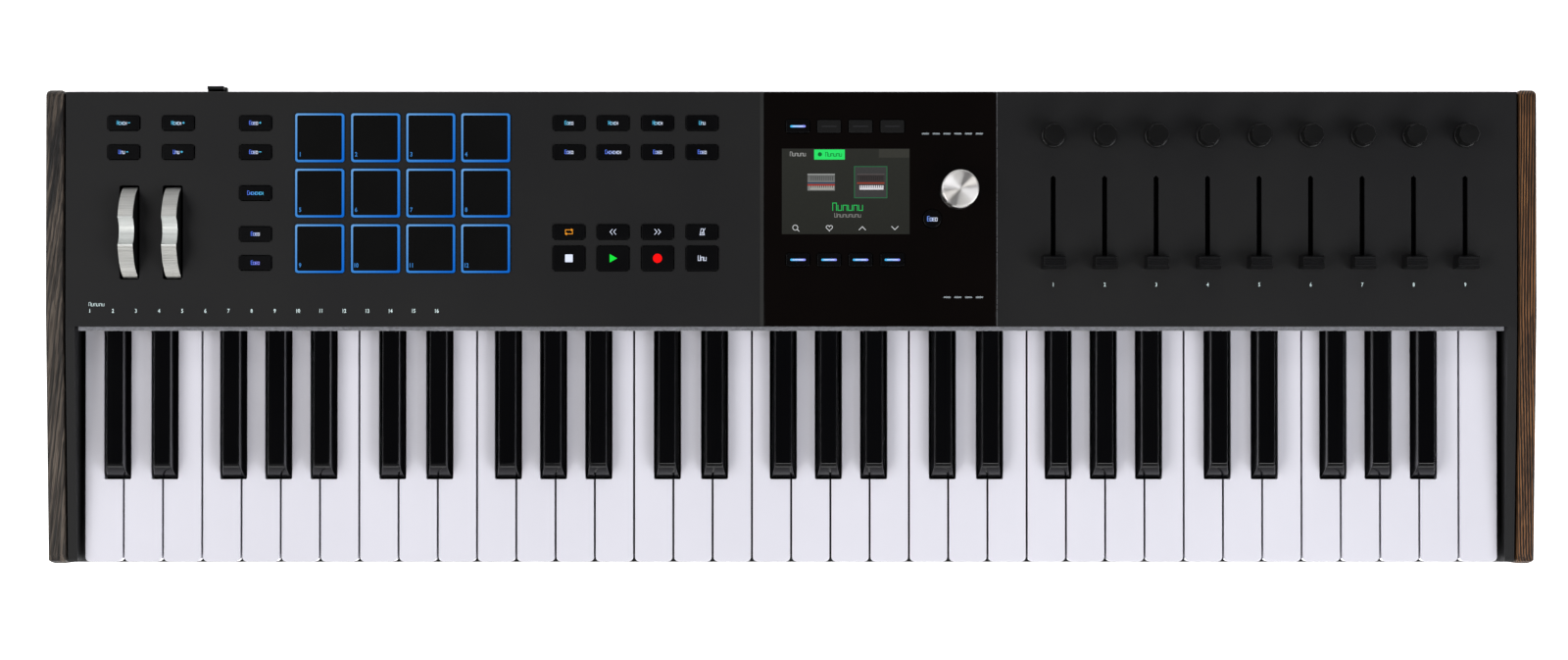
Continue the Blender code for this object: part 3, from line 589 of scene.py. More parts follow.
def print_digits(shape: Shape, text: str, centre: Point2, height: float, z: float,
                 tone: Rgb = PRINT_TONE) -> None:
    """Add printed digits to a shape as a thin raised layer."""
    mesh, matrix = lettering(text, centre, height, z)
    mesh.transform(matrix)
    before = set(shape.bm.verts)
    shape.bm.from_mesh(mesh)
    bpy.data.meshes.remove(mesh)
    verts = [v for v in shape.bm.verts if v not in before]
    faces = [f for f in shape.bm.faces if f.verts[0] not in before]
    made = bmesh.ops.extrude_face_region(shape.bm, geom=faces, use_keep_orig=True)["geom"]
    top = [item for item in made if isinstance(item, bmesh.types.BMVert)]
    bmesh.ops.translate(shape.bm, vec=(0.0, 0.0, 0.03), verts=top)
    shape.paint(verts + top, tone)


# ------------------------------------------------------------------ keys
@dataclass
class Keybed:
    """The 61 keys: each a piece of its own, riding on its comb's body."""

    pitch: float = 23.5
    gap: float = 1.1
    octaves: int = 5
    black_centres: Tuple[float, ...] = (20.0, 48.2, 89.3, 116.3, 143.4)
    black_after: Tuple[int, ...] = (0, 1, 3, 4, 5)
    notch_half: float = 7.95
    notch_front: float = 50.4
    notch_chamfer: float = 0.6
    corner: float = 2.7
    notes: str = "cdefgab"
    outer: Tuple[int, ...] = (0, 2, 4, 6)
    black_base: float = 6.85
    black_top: float = 4.85
    black_front: float = 51.6
    black_depth: float = 7.0
    black_notes: Tuple[str, ...] = ("c_sharp", "d_sharp", "f_sharp", "g_sharp", "a_sharp")
    key_rear: float = 143.4
    nose_arc: float = 68.0
    nose_reach: float = 8.2
    setback: float = 0.75
    plate_depth: float = 9.0
    lip_depth: float = 6.0
    lip_inset: float = 1.7
    lip_corner: float = 1.3
    inner_rail: Point2 = (22.0, 28.2)
    black_rail: Point2 = (40.9, 46.9)
    black_rail_inset: float = 2.35
    rail_width: float = 5.0
    low: Vector = field(default_factory=lambda: box_mm("white_keys_ceg_b_octave_1")[0])
    high: Vector = field(default_factory=lambda: box_mm("white_keys_ceg_b_octave_1")[1])

    def left(self, octave: int) -> float:
        """X of an octave's left edge."""
        return self.low.x - self.gap / 2 + octave * 7 * self.pitch

    def span(self, octave: int, index: int) -> Tuple[float, float, float, float]:
        """X limits of a white key's front and of its narrow part."""
        left = self.left(octave) + index * self.pitch + self.gap / 2
        right = left + self.pitch - self.gap
        tail_left, tail_right = left, right
        for centre, white in zip(self.black_centres, self.black_after):
            if octave < self.octaves and white == index:
                tail_right = self.left(octave) + centre - self.notch_half
            if octave < self.octaves and white == index - 1:
                tail_left = self.left(octave) + centre + self.notch_half
        return left, right, tail_left, tail_right

    def white_outline(self, octave: int, index: int) -> List[Point2]:
        """Plan of a white key, anticlockwise from its rear right corner."""
        left, right, tail_left, tail_right = self.span(octave, index)
        front, c = self.low.y + self.setback, self.corner
        arc = [(math.sin(a * math.pi / 8), math.cos(a * math.pi / 8)) for a in range(5)]
        points = [(tail_right, self.key_rear), (tail_left, self.key_rear)]
        notch, cut = self.notch_front, self.notch_chamfer
        if tail_left > left:
            points += [(tail_left, notch + cut), (tail_left - cut, notch), (left, notch)]
        points += [(left + c - c * cos, front + c - c * sin) for sin, cos in arc]
        points += [(right - c + c * sin, front + c - c * cos) for sin, cos in arc]
        if tail_right < right:
            points += [(right, notch), (tail_right + cut, notch), (tail_right, notch + cut)]
        return points

    def white_key(self, octave: int, index: int) -> None:
        """Make one white key: top plate with eased edges, and the front lip below it."""
        kind = "ceg_b" if index in self.outer else "dfa"
        body = "white_key_top_c" if octave == self.octaves else f"white_keys_{kind}_octave_{octave + 1}"
        left, right = self.span(octave, index)[:2]
        under = self.high.z - self.plate_depth
        shape = Shape()
        shape.plate(self.white_outline(octave, index), under, self.high.z)
        shape.fresh()
        shape.ease_top(0.55, 3, 40.0)
        middle = ((left + right) / 2, self.low.y + self.setback + self.lip_depth / 2 + 0.2)
        lip = rounded(middle, (right - left - 2 * self.lip_inset, self.lip_depth), self.lip_corner)
        shape.plate(lip, self.low.z, under + 1.0)
        shape.piece(f"white_key_{self.notes[index]}{octave + 1}", WHITE_KEY, body, "white_key",
                    self.first_of(body), smooth=40.0)

    def first_of(self, node: str) -> Tuple[str, ...]:
        """The CAD comb, for the first key made from it."""
        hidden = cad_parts[node].hide_render
        return () if hidden else (node,)

    def black_key(self, octave: int, number: int) -> None:
        """Make one black key: a tapered body with a rounded nose and soft long edges."""
        body = f"black_keys_octave_{octave + 1}"
        _, high = box_mm(body)
        centre = self.left(octave) + self.black_centres[number]
        top, base = high.z, self.high.z - self.black_depth
        front, drop = self.black_front, top - self.high.z
        nose = [(front, base), (front + 0.05, self.high.z - 1.2)]
        for step in range(1, 9):
            angle = math.radians(step / 8 * self.nose_arc)
            share = math.sin(angle) / math.sin(math.radians(self.nose_arc))
            nose.append((front + 0.1 + self.nose_reach * (step / 8) ** 1.15,
                         self.high.z - 1.0 + (drop + 1.0) * share))
        outline = nose + [(self.key_rear, top), (self.key_rear, base)]
        shape = Shape()
        for vert in shape.plate(outline, -1.0, 1.0, side_view=True):
            share = max(0.0, min(1.0, (vert.co.z - self.high.z + 1.0) / (drop + 1.0)))
            half = self.black_base + (self.black_top - self.black_base) * share
            vert.co.x = centre + math.copysign(half, vert.co.x)
        shape.fresh()
        shape.bevel(0.6, 3, 20.0, lambda e: max(v.co.z for v in e.verts) > self.high.z - 0.5
                    and min(v.co.y for v in e.verts) < self.key_rear - 1.0)
        shape.piece(f"black_key_{self.black_notes[number]}{octave + 1}", BLACK_KEY, body, "black_key",
                    self.first_of(body), smooth=50.0)

    def comb_rails(self) -> None:
        """Make the hidden rails that join each comb's keys at the rear."""
        top = self.high.z
        rails = (("white_keys_ceg_b", WHITE_KEY, "white_key", (top - self.plate_depth, top), 0.0),
                 ("white_keys_dfa", WHITE_KEY, "white_key", self.inner_rail, 0.0),
                 ("black_keys", BLACK_KEY, "black_key", self.black_rail, self.black_rail_inset))
        for octave in range(self.octaves):
            for kind, finish, slot, (z_low, z_high), inset in rails:
                body = f"{kind}_octave_{octave + 1}"
                low, high = box_mm(body)
                shape = Shape()
                shape.box((low.x + inset, high.y - self.rail_width, z_low), (high.x - inset, high.y, z_high))
                shape.bevel(0.5, 2)
                shape.piece(f"{kind}_rail_{octave + 1}", finish, body, slot)

    def build(self) -> None:
        """Make every key."""
        for octave in range(self.octaves):
            for index in range(7):
                self.white_key(octave, index)
            for number in range(5):
                self.black_key(octave, number)
        self.white_key(self.octaves, 0)
        self.comb_rails()


# ------------------------------------------------------------------ shell
# side profiles as (radius, rise above the wall or the floor)
SCREW_HEAD = ((0.0, -0.3), (1.25, -0.3), (1.3, 0.55), (2.2, 0.6), (2.8, 0.25), (2.9, -0.2))
JACK_RING = ((3.2, -6.0), (3.2, 1.5), (3.5, 1.8), (5.0, 1.8), (5.3, 1.5), (5.3, 0.02), (3.9, 0.02))
PIN_SHELL = ((6.6, -6.0), (6.6, 0.9), (6.9, 1.1), (8.9, 1.1), (9.2, 0.8), (9.2, 0.02), (7.7, 0.02))
FOOT_SOLE = ((0.0, 0.9), (3.6, 0.9), (4.2, 0.5), (4.7, 0.05), (5.4, 0.0))


@dataclass
class Shell:
    """The case: top shell, bottom case, wooden cheeks, felt, feet, screws and rear sockets."""

    panel_edge: float = 0.32
    cheek_edge: float = 1.3
    corner: float = 4.6
    jack_x: Tuple[float, ...] = (8.0, 30.0, 52.0, 74.0)
    din_x: Tuple[float, ...] = (-58.0, -28.0)
    port_x: float = -8.5
    port_size: Point2 = (9.4, 3.6)
    rear_corner: float = 2.4
    socket_z: float = 29.0
    border_rise: float = 0.12
    lip_y: Point2 = (0.04, 0.66)
    lip_z: Point2 = (4.6, 10.8)
    lip_past_keys: float = 9.0
    under_screw_x: Tuple[float, ...] = (-410.0, -250.0, -85.0, 85.0, 250.0, 410.0)
    under_screw_y: Tuple[float, ...] = (14.0, 140.0, 268.0)
    rear_screw_x: Tuple[float, ...] = (-415.0, -260.0, -120.0, 130.0, 270.0, 415.0)
    rear_screw_z: float = 12.0
    hook_reach: float = 5.2
    felt_cuts: int = 700
    felt_inset: float = 0.35
    felt_wave: float = 0.22
    felt_fibre: float = 0.16

    def panel(self) -> None:
        """Top shell with eased edges round every opening."""
        shape = from_cad("top_panel")
        shape.ease_top(self.panel_edge, 2)
        shape.piece("control_panel", PANEL_PLASTIC, ROOT, "charcoal_plastic", ["top_panel"], smooth=30.0,
                    recalc=False)

    def glass_edge_highlights(self) -> None:
        """Slim raised strips beside the glass whose lighter tones are painted highlights for its lit edge
        chamfers: a wide one at its left and a bright thin one at its right.
        """
        low, high = box_mm("display_glass")
        for name, x0, x1, finish in (("glass_edge_highlight_left", low.x - 2.6, low.x - 0.35, EDGE_HIGHLIGHT_PLASTIC),
                                     # painted highlights: lighter plastic at the left, and bright steel at
                                     # the right for the thin lit edge there
                                     ("glass_edge_highlight_right", high.x + 0.35, high.x + 0.85, FERRULE)):
            shape = Shape()
            shape.box((x0, low.y + 0.4, PANEL_Z), (x1, high.y - 0.4, PANEL_Z + self.border_rise))
            shape.fresh()
            shape.ease_top(0.05, 1, 40.0)
            shape.piece(name, finish, ROOT, "charcoal_plastic")

    def case(self) -> None:
        """Bottom case with soft outer edges."""
        shape = from_cad("bottom_case")
        shape.bevel(0.4, 2, 60.0)
        shape.keep_within("bottom_case")
        shape.piece("case_bottom", CASE_PLASTIC, ROOT, "charcoal_plastic", ["bottom_case"], smooth=30.0,
                    recalc=False)

    def cheeks(self) -> None:
        """Wooden cheeks, rounded along every outer edge."""
        for node, finish in (("cheek_left", WOOD_LEFT), ("cheek_right", WOOD_RIGHT)):
            shape = from_cad(node)
            low, high = box_mm(node)
            outer = low.x if node == "cheek_left" else high.x
            middle = (low.y + high.y) / 2
            for reach, front in ((self.corner, True), (self.rear_corner, False)):
                shape.bevel(reach, 6, 40.0, lambda e: all(abs(v.co.x - outer) < 0.05 and
                                                          (v.co.y < middle) == front for v in e.verts)
                            and abs(e.verts[0].co.z - e.verts[1].co.z) > 20.0
                            and abs(e.verts[0].co.y - e.verts[1].co.y) < 0.1)
            shape.bevel(self.cheek_edge, 4, 25.0)
            shape.keep_within(node)
            shape.piece(f"wooden_{node}", finish, ROOT, "wood", [node], smooth=60.0, recalc=False)

    def felt(self) -> None:
        """Felt strip with a slightly uneven front edge."""
        low, high = box_mm("felt_strip")
        shape = Shape()
        shape.box(low, high)
        shape.fresh()
        long_edges = [e for e in shape.bm.edges if abs(e.verts[0].co.x - e.verts[1].co.x) > 100.0]
        bmesh.ops.subdivide_edges(shape.bm, edges=long_edges, cuts=self.felt_cuts, use_grid_fill=True)
        for vert in shape.bm.verts:
            if vert.co.y < low.y + 0.1:
                wave = noise.noise(Vector((vert.co.x * 0.55, vert.co.z * 0.4, 3.0)))
                fibre = noise.noise(Vector((vert.co.x * 2.4, vert.co.z, 8.0)))
                vert.co.y += self.felt_inset + self.felt_wave * wave + self.felt_fibre * fibre
        shape.piece("felt_damper_strip", FELT, ROOT, "felt", ["felt_strip"], smooth=60.0)

    def front_lip(self) -> None:
        """The case's low front lip, seen between the rounded corners of the white keys."""
        half = self.lip_past_keys - box_mm("white_keys_ceg_b_octave_1")[0].x
        (front, rear), (base, top) = self.lip_y, self.lip_z
        shape = Shape()
        shape.box((-half, front, base), (half, rear, top))
        shape.fresh()
        shape.bevel(0.15, 2, 40.0)
        shape.piece("case_front_lip", CASE_PLASTIC, ROOT, "charcoal_plastic")

    def feet(self) -> None:
        """Rubber feet with a round edge and a recessed middle."""
        for node in ("foot_front_left", "foot_front_right", "foot_rear_left", "foot_rear_right"):
            low, high = box_mm(node)
            r, top = (high.x - low.x) / 2, high.z
            rim = [(r - 1.8, 0.0), (r - 0.7, 0.3), (r - 0.15, 1.1), (r, 2.0), (r, top - 0.4), (r - 0.3, top)]
            shape = Shape()
            shape.turned([*FOOT_SOLE, *rim, (0.0, top)], middle_of(node))
            shape.piece(f"rubber_{node}", FOOT_RUBBER, ROOT, "rubber", [node])

    def screw(self, shape: Shape, centre: Point2, face: float, lying: bool) -> None:
        """Add a pan-head screw with a round recess, standing out of a face."""
        way = 1.0 if lying else -1.0
        shape.turned([(radius, face + way * rise) for radius, rise in SCREW_HEAD], centre, 24, lying)

    def screws(self) -> None:
        """Screws under the case and along the rear wall; the hook stands out behind that wall."""
        low, high = box_mm("bottom_case")
        under = Shape()
        for x in self.under_screw_x:
            for y in self.under_screw_y:
                self.screw(under, (x, y), low.z, False)
        under.piece("underside_screws", SCREW_STEEL, ROOT, "pressed_steel")
        rear = Shape()
        for x in self.rear_screw_x:
            self.screw(rear, (x, self.rear_screw_z), high.y - self.hook_reach, True)
        rear.piece("rear_screws", SCREW_STEEL, ROOT, "pressed_steel")

    def sockets(self) -> None:
        """Ferrules of the rear jacks, shells of the five-pin sockets and frame of the port."""
        face = box_mm("socket_block")[1].y
        for name, finish, slot, places, profile, sides in (
                ("jack_ferrules", FERRULE, "pressed_steel", self.jack_x, JACK_RING, 32),
                ("five_pin_shells", BUTTON_PLASTIC, "button", self.din_x, PIN_SHELL, 40)):
            rings = Shape()
            for x in places:
                rings.turned([(r, face + rise) for r, rise in profile], (x, self.socket_z), sides, True)
            rings.piece(name, finish, ROOT, slot)
        port = Shape()
        port.plate(rounded((0.0, 0.0), self.port_size, 1.7, 6), 0.0, 0.8)
        made = list(port.bm.verts)
        bmesh.ops.rotate(port.bm, cent=(0, 0, 0), matrix=Matrix.Rotation(math.pi / 2, 3, "X"), verts=made)
        bmesh.ops.translate(port.bm, vec=(self.port_x, face + 0.85, self.socket_z), verts=made)
        port.fresh()
        port.bevel(0.25, 2)
        port.piece("usb_port_frame", FERRULE, ROOT, "pressed_steel")

    def inner_parts(self) -> None:
        """Give the hidden boards, chassis and brackets their own finishes."""
        finishes = {"key_chassis": DARK_STEEL, "main_board": BOARD_GREEN, "fader_board": BUTTON_PLASTIC,
                    "wheel_bracket": DARK_STEEL, "encoder_shaft": FERRULE, "display_module": SCREEN_BLACK,
                    "socket_block": BUTTON_PLASTIC}
        for node, finish in finishes.items():
            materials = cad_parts[node].data.materials
            materials.clear()
            materials.append(finish.material())

    def build(self) -> None:
        """Make the whole shell."""
        for make in (self.panel, self.glass_edge_highlights, self.case, self.cheeks, self.felt, self.front_lip,
                     self.feet, self.screws, self.sockets, self.inner_parts):
            make()


# ------------------------------------------------------------------ lit marks
class Mark(Enum):
    """What is lit on a button."""

    WORD = "word"
    LOOP = "loop"
    BACK = "back"
    FORWARD = "forward"
    METRONOME = "metronome"
    STOP = "stop"
    PLAY = "play"
    RECORD = "record"
    BAR = "bar"
    UNLIT = "unlit"


# tones of the lights
BLUE = (92, 128, 255)
SKY = (84, 196, 240)
PALE = (226, 234, 255)
VIOLET = (150, 150, 255)
ORANGE = (250, 160, 40)
# sides of each letter-like sign: left, right, top, bottom and middle
SIGNS = ("ltr", "lrtb", "ltb", "lrb", "ltmb", "lrm")


class MarkMaker:
    """Draws generic marks: rows of letter-like signs, and plain transport symbols."""

    def __init__(self, z: float, shape: Optional[Shape] = None, depth: float = 0.05) -> None:
        """Start a layer of marks on a surface at height z, in a new shape or a given one."""
        self.shape = shape or Shape()
        self.low = z
        self.high = z + depth

    def word(self, x: float, y: float, strokes: int, near: Rgb, far: Rgb, width: float = 0.0,
             tall: float = 2.5) -> None:
        """A row of letter-like signs that spell nothing, shaded from one tone to another.

        Args:
            x: middle of the row.
            y: middle of the row.
            strokes: how many signs.
            near: the tone at the left end.
            far: the tone at the right end.
            width: the row's length, or 0 for the usual one.
            tall: height of the first sign.
        """
        width = width or strokes * 1.4
        step = width / strokes
        half = step * 0.36
        pen = min(max(0.115 * tall, 0.27), 0.42)
        foot = y - tall / 2
        for i in range(strokes):
            share = (i / max(strokes - 1, 1)) ** 0.6
            tone = tuple(a + (b - a) * share for a, b in zip(near, far))
            centre = x - width / 2 + step * (i + 0.5)
            top = foot + tall * (1.0 if i == 0 else 0.7)
            left, right = centre - half, centre + half
            for side in SIGNS[(i * 3 + strokes) % len(SIGNS)]:
                ends = {"l": ((left, foot), (left, top)), "r": ((right, foot), (right, top)),
                        "t": ((left, top), (right, top)), "b": ((left, foot), (right, foot)),
                        "m": ((left, (foot + top) / 2), (right, (foot + top) / 2))}[side]
                self.line(ends, pen, tone)

    def line(self, points: Sequence[Point2], width: float, tone: Rgb) -> None:
        """A bent line."""
        self.shape.stroke(points, width, self.low, self.high, tone)

    def area(self, outline: Sequence[Point2], tone: Rgb, far: Optional[Rgb] = None) -> None:
        """A filled outline."""
        verts = self.shape.plate(outline, self.low, self.high)
        self.shape.paint(verts, tone, far)

    def disc(self, x: float, y: float, radius: float, tone: Rgb) -> None:
        """A filled circle."""
        steps = 32
        self.area([(x + radius * math.cos(math.tau * i / steps), y + radius * math.sin(math.tau * i / steps))
                   for i in range(steps)], tone)

    def sign(self, x: float, y: float, plus: bool, tone: Rgb) -> None:
        """A small plus or minus."""
        self.line([(x - 0.4, y), (x + 0.4, y)], 0.46, tone)
        if plus:
            self.line([(x, y - 0.4), (x, y + 0.4)], 0.46, tone)

    def symbol(self, mark: Mark, x: float, y: float) -> None:
        """Draw one transport symbol."""
        if mark is Mark.LOOP:
            for way in (1.0, -1.0):
                self.line([(x - way * 2.1, y - way * 0.4), (x - way * 2.1, y + way * 1.2),
                           (x + way * 1.3, y + way * 1.2)], 0.38, ORANGE)
                self.area([(x + way * 1.3, y + way * 2.1), (x + way * 1.3, y + way * 0.3),
                           (x + way * 2.5, y + way * 1.2)], ORANGE)
        elif mark in (Mark.BACK, Mark.FORWARD):
            side = -1.0 if mark is Mark.BACK else 1.0
            for start in (-1.7, 0.4):
                tip = x + side * (start + 1.4)
                self.line([(tip - side * 1.35, y + 1.5), (tip, y), (tip - side * 1.35, y - 1.5)], 0.36, PALE)
        elif mark is Mark.METRONOME:
            self.line([(x - 1.3, y - 1.8), (x - 0.6, y + 1.8), (x + 0.6, y + 1.8), (x + 1.3, y - 1.8),
                       (x - 1.3, y - 1.8)], 0.34, PALE)
            self.line([(x - 0.2, y - 0.9), (x + 1.8, y + 2.0)], 0.34, PALE)
            self.line([(x - 0.9, y - 0.9), (x + 0.9, y - 0.9)], 0.34, PALE)
        elif mark is Mark.STOP:
            self.area(rounded((x, y), (4.6, 4.6), 0.35, 2), PALE)
        elif mark is Mark.PLAY:
            self.area([(x - 2.0, y - 2.5), (x + 2.5, y), (x - 2.0, y + 2.5)], (20, 232, 62))
        elif mark is Mark.RECORD:
            self.disc(x, y, 2.75, (255, 8, 8))
        elif mark is Mark.BAR:
            self.area(rounded((x, y), (9.2, 1.3), 0.62, 4), (60, 190, 245), (150, 150, 255))
            self.area(rounded((x, y), (6.6, 0.5), 0.24, 3), (235, 240, 255))


@dataclass(frozen=True)
class Key:
    """One push button: its place, size and what is lit on it."""

    x: float
    y: float
    mark: Mark = Mark.WORD
    strokes: int = 4
    tones: Tuple[Rgb, Rgb] = (BLUE, PALE)
    sign: int = 0
    size: Point2 = (18.9, 8.6)


@dataclass
class ButtonField:
    """All push buttons, in the five sets that the CAD model moves."""

    transpose_x: Tuple[float, ...] = (-396.6, -364.2)
    upper_rows: Tuple[float, ...] = (261.9, 244.6)
    mode_x: float = -318.3
    mode_rows: Tuple[float, ...] = (261.9, 244.6, 220.3, 196.0, 178.8)
    command_x: Tuple[float, ...] = (-132.0, -105.8, -79.4, -52.9)
    transport_row: float = 197.2
    stop_row: float = 181.5
    tall: Point2 = (18.9, 14.5)
    soft_size: Point2 = (14.0, 7.6)
    soft_x: Tuple[float, ...] = (4.0, 22.5, 41.2, 60.1)
    soft_rows: Tuple[float, ...] = (259.9, 180.6)
    back: Point2 = (83.8, 205.0)
    back_radius: float = 5.4
    edge: float = 0.38
    cap_depth: float = 6.5
    web_depth: float = 1.5
    soft_web: float = 5.3
    back_web_x: Point2 = (77.0, 90.4)

    def layout(self) -> Dict[str, List[Key]]:
        """Every rectangular button on the plastic panel, by CAD body."""
        transpose = []
        for x, sign in zip(self.transpose_x, (-1, 1)):
            transpose.append(Key(x, self.upper_rows[0], strokes=5, tones=(SKY, PALE), sign=sign))
            transpose.append(Key(x, self.upper_rows[1], strokes=3, tones=(BLUE, PALE), sign=sign))
        mode = [Key(self.mode_x, self.mode_rows[0], strokes=4, sign=1),
                Key(self.mode_x, self.mode_rows[1], strokes=4, sign=-1),
                Key(self.mode_x, self.mode_rows[2], strokes=8, tones=(BLUE, SKY)),
                Key(self.mode_x, self.mode_rows[3], strokes=4),
                Key(self.mode_x, self.mode_rows[4], strokes=4, tones=(BLUE, VIOLET))]
        first = [Key(x, self.upper_rows[0], strokes=n, tones=(SKY, PALE))
                 for x, n in zip(self.command_x, (4, 5, 5, 3))]
        second = [Key(x, self.upper_rows[1], strokes=n, tones=(BLUE, PALE))
                  for x, n in zip(self.command_x, (4, 8, 4, 4))]
        upper = [Key(x, self.transport_row, mark) for x, mark in
                 zip(self.command_x, (Mark.LOOP, Mark.BACK, Mark.FORWARD, Mark.METRONOME))]
        lower = [Key(x, self.stop_row, mark, 3, (PALE, PALE), 0, self.tall) for x, mark in
                 zip(self.command_x, (Mark.STOP, Mark.PLAY, Mark.RECORD, Mark.WORD))]
        return {"transpose_octave_buttons": transpose, "mode_buttons": mode,
                "command_buttons": first + second, "transport_buttons": upper + lower}

    def cap(self, name: str, key: Key, top: float, body: str, finish: Finish, node: Sequence[str]) -> None:
        """Make one button cap."""
        shape = Shape()
        shape.plate(rounded((key.x, key.y), key.size, 0.95, 5), top - self.cap_depth, top)
        shape.fresh()
        shape.ease_top(self.edge)
        shape.piece(name, finish, body, "button", node, smooth=45.0)

    def write(self, marks: MarkMaker, key: Key) -> None:
        """Add a button's lit mark."""
        if key.mark is not Mark.WORD:
            marks.symbol(key.mark, key.x, key.y)
            return
        tall = 2.9 if key.size == self.tall else 2.2
        length = key.strokes * (1.2 if key.strokes > 4 else 0.6 * tall)
        shift = -1.1 if key.sign else 0.0
        marks.word(key.x + shift, key.y + 0.1, key.strokes, *key.tones, width=length, tall=tall)
        if key.sign:
            marks.sign(key.x + shift + length / 2 + 1.3, key.y + 0.1, key.sign > 0, SKY)

    def panel_buttons(self) -> None:
        """The four sets on the plastic panel."""
        for body, keys in self.layout().items():
            top = box_mm(body)[1].z
            marks = MarkMaker(top)
            for number, key in enumerate(keys):
                node = [body] if number == 0 else []
                self.cap(f"{body}_cap_{number + 1}", key, top, body, BUTTON_PLASTIC, node)
                self.write(marks, key)
            marks.shape.piece(f"{body}_lit_marks", LIT, body, "button")
            self.web(body)

    def web(self, body: str) -> None:
        """The moulded web that links a set under the panel."""
        low, high = box_mm(body)
        top = low.z + self.web_depth
        shape = Shape()
        if body == "display_buttons":
            for y in self.soft_rows:
                shape.box((low.x, y - self.soft_web, low.z), (high.x, y + self.soft_web, top))
            (left, right), reach = self.back_web_x, self.soft_web - 0.1
            shape.box((left, self.soft_rows[1] - reach, low.z + 0.02),
                      (right, self.soft_rows[0] + reach, top - 0.02))
        else:
            shape.box(low, (high.x, high.y, top))
        shape.piece(f"{body}_web", PAD_RUBBER, body, "button")

    def display_buttons(self) -> None:
        """The soft buttons above and below the display, and the round one."""
        body = "display_buttons"
        top = box_mm(body)[1].z
        marks = MarkMaker(top)
        number = 0
        for row, y in enumerate(self.soft_rows):
            for column, x in enumerate(self.soft_x):
                lit = row == 1 or column == 0
                key = Key(x, y, Mark.BAR if lit else Mark.UNLIT, size=self.soft_size)
                finish = SOFT_PLASTIC if lit else DIM_PLASTIC
                number += 1
                self.cap(f"display_button_{number}", key, top, body, finish, [body] if number == 1 else [])
                if lit:
                    marks.symbol(Mark.BAR, x, y)
                else:
                    marks.area(rounded((x, y), (9.0, 0.8), 0.39, 3), (38, 38, 40))
        r = self.back_radius
        shape = Shape()
        shape.turned([(0.0, top - 0.12), (r - 1.4, top - 0.05), (r - 0.5, top), (r - 0.12, top - 0.15),
                      (r, top - 0.5), (r, top - self.cap_depth), (0.0, top - self.cap_depth)], self.back)
        shape.piece("round_back_button", SOFT_PLASTIC, body, "button", smooth=40.0)
        marks.word(*self.back, 4, (120, 160, 255), PALE, 6.2, 2.7)
        marks.shape.piece("display_button_lit_marks", LIT, body, "button")
        self.web(body)

    def build(self) -> None:
        """Make every button."""
        self.panel_buttons()
        self.display_buttons()


# ------------------------------------------------------------------ pads
@dataclass
class PadGrid:
    """Twelve drum pads in glowing frames."""

    xs: Tuple[float, ...] = (-280.2, -247.0, -214.2, -181.6)
    ys: Tuple[float, ...] = (253.2, 220.3, 187.3)
    size: float = 28.7
    rim: float = 1.08
    body: str = "drum_pad_mat"
    mat_depth: float = 1.6
    frame_depth: float = 4.0
    frame_drop: float = 0.7
    corner_tone: Rgb = (100, 156, 214)
    far_tone: Rgb = (8, 100, 200)

    def light_frame(self, shape: Shape, x: float, y: float, top: float) -> None:
        """Add one pad's light guide: a square ring, paler towards its top left corner."""
        outer = rounded((x, y), (self.size, self.size), 1.3, 4)
        inner_size = self.size - 2 * self.rim
        inner = rounded((x, y), (inner_size, inner_size), 0.9, 4)
        low = top - self.frame_depth
        verts = []
        rings = []
        for outline, z in ((outer, low), (outer, top), (inner, top), (inner, low)):
            ring = [shape.bm.verts.new((a, b, z)) for a, b in outline]
            rings.append([shape.bm.edges.new((ring[i - 1], ring[i])) for i in range(len(ring))])
            verts += ring
        for first, second in zip(rings, rings[1:] + rings[:1]):
            bmesh.ops.bridge_loops(shape.bm, edges=first + second)
        for vert in verts:
            across = (vert.co.x - x) / self.size
            up = (vert.co.y - y) / self.size
            share = max(0.0, min(1.0, 0.5 + 0.9 * across - 0.75 * up))
            tone = [a + (b - a) * share for a, b in zip(self.corner_tone, self.far_tone)]
            vert[shape.tint] = opaque(tone)

    def build(self) -> None:
        """Make the mat, the light frames, the pads and their digits."""
        low, high = box_mm(self.body)
        top = high.z
        mat = Shape()
        mat.box(low, (high.x, high.y, low.z + self.mat_depth))
        mat.piece("pad_mat_base", PAD_RUBBER, self.body, "rubber", [self.body])
        frames = Shape()
        digits = Shape()
        face = self.size - 2 * self.rim - 0.15
        places = [(x, y) for y in self.ys for x in self.xs]
        for number, (x, y) in enumerate(places, 1):
            self.light_frame(frames, x, y, top - self.frame_drop)
            pad = Shape()
            pad.plate(rounded((x, y), (face, face), 1.0, 5), low.z + self.mat_depth + 0.1, top)
            pad.fresh()
            pad.ease_top(0.55)
            pad.piece(f"drum_pad_{number}", PAD_RUBBER, self.body, "rubber", smooth=45.0)
            print_digits(digits, str(number), (x - self.size / 2 + 3.0, y - self.size / 2 + 4.2), 2.6, top,
                         (60, 132, 205))
        frames.piece("pad_light_frames", LIT, self.body, "rubber")
        digits.piece("pad_digits", LIT, self.body, "rubber")


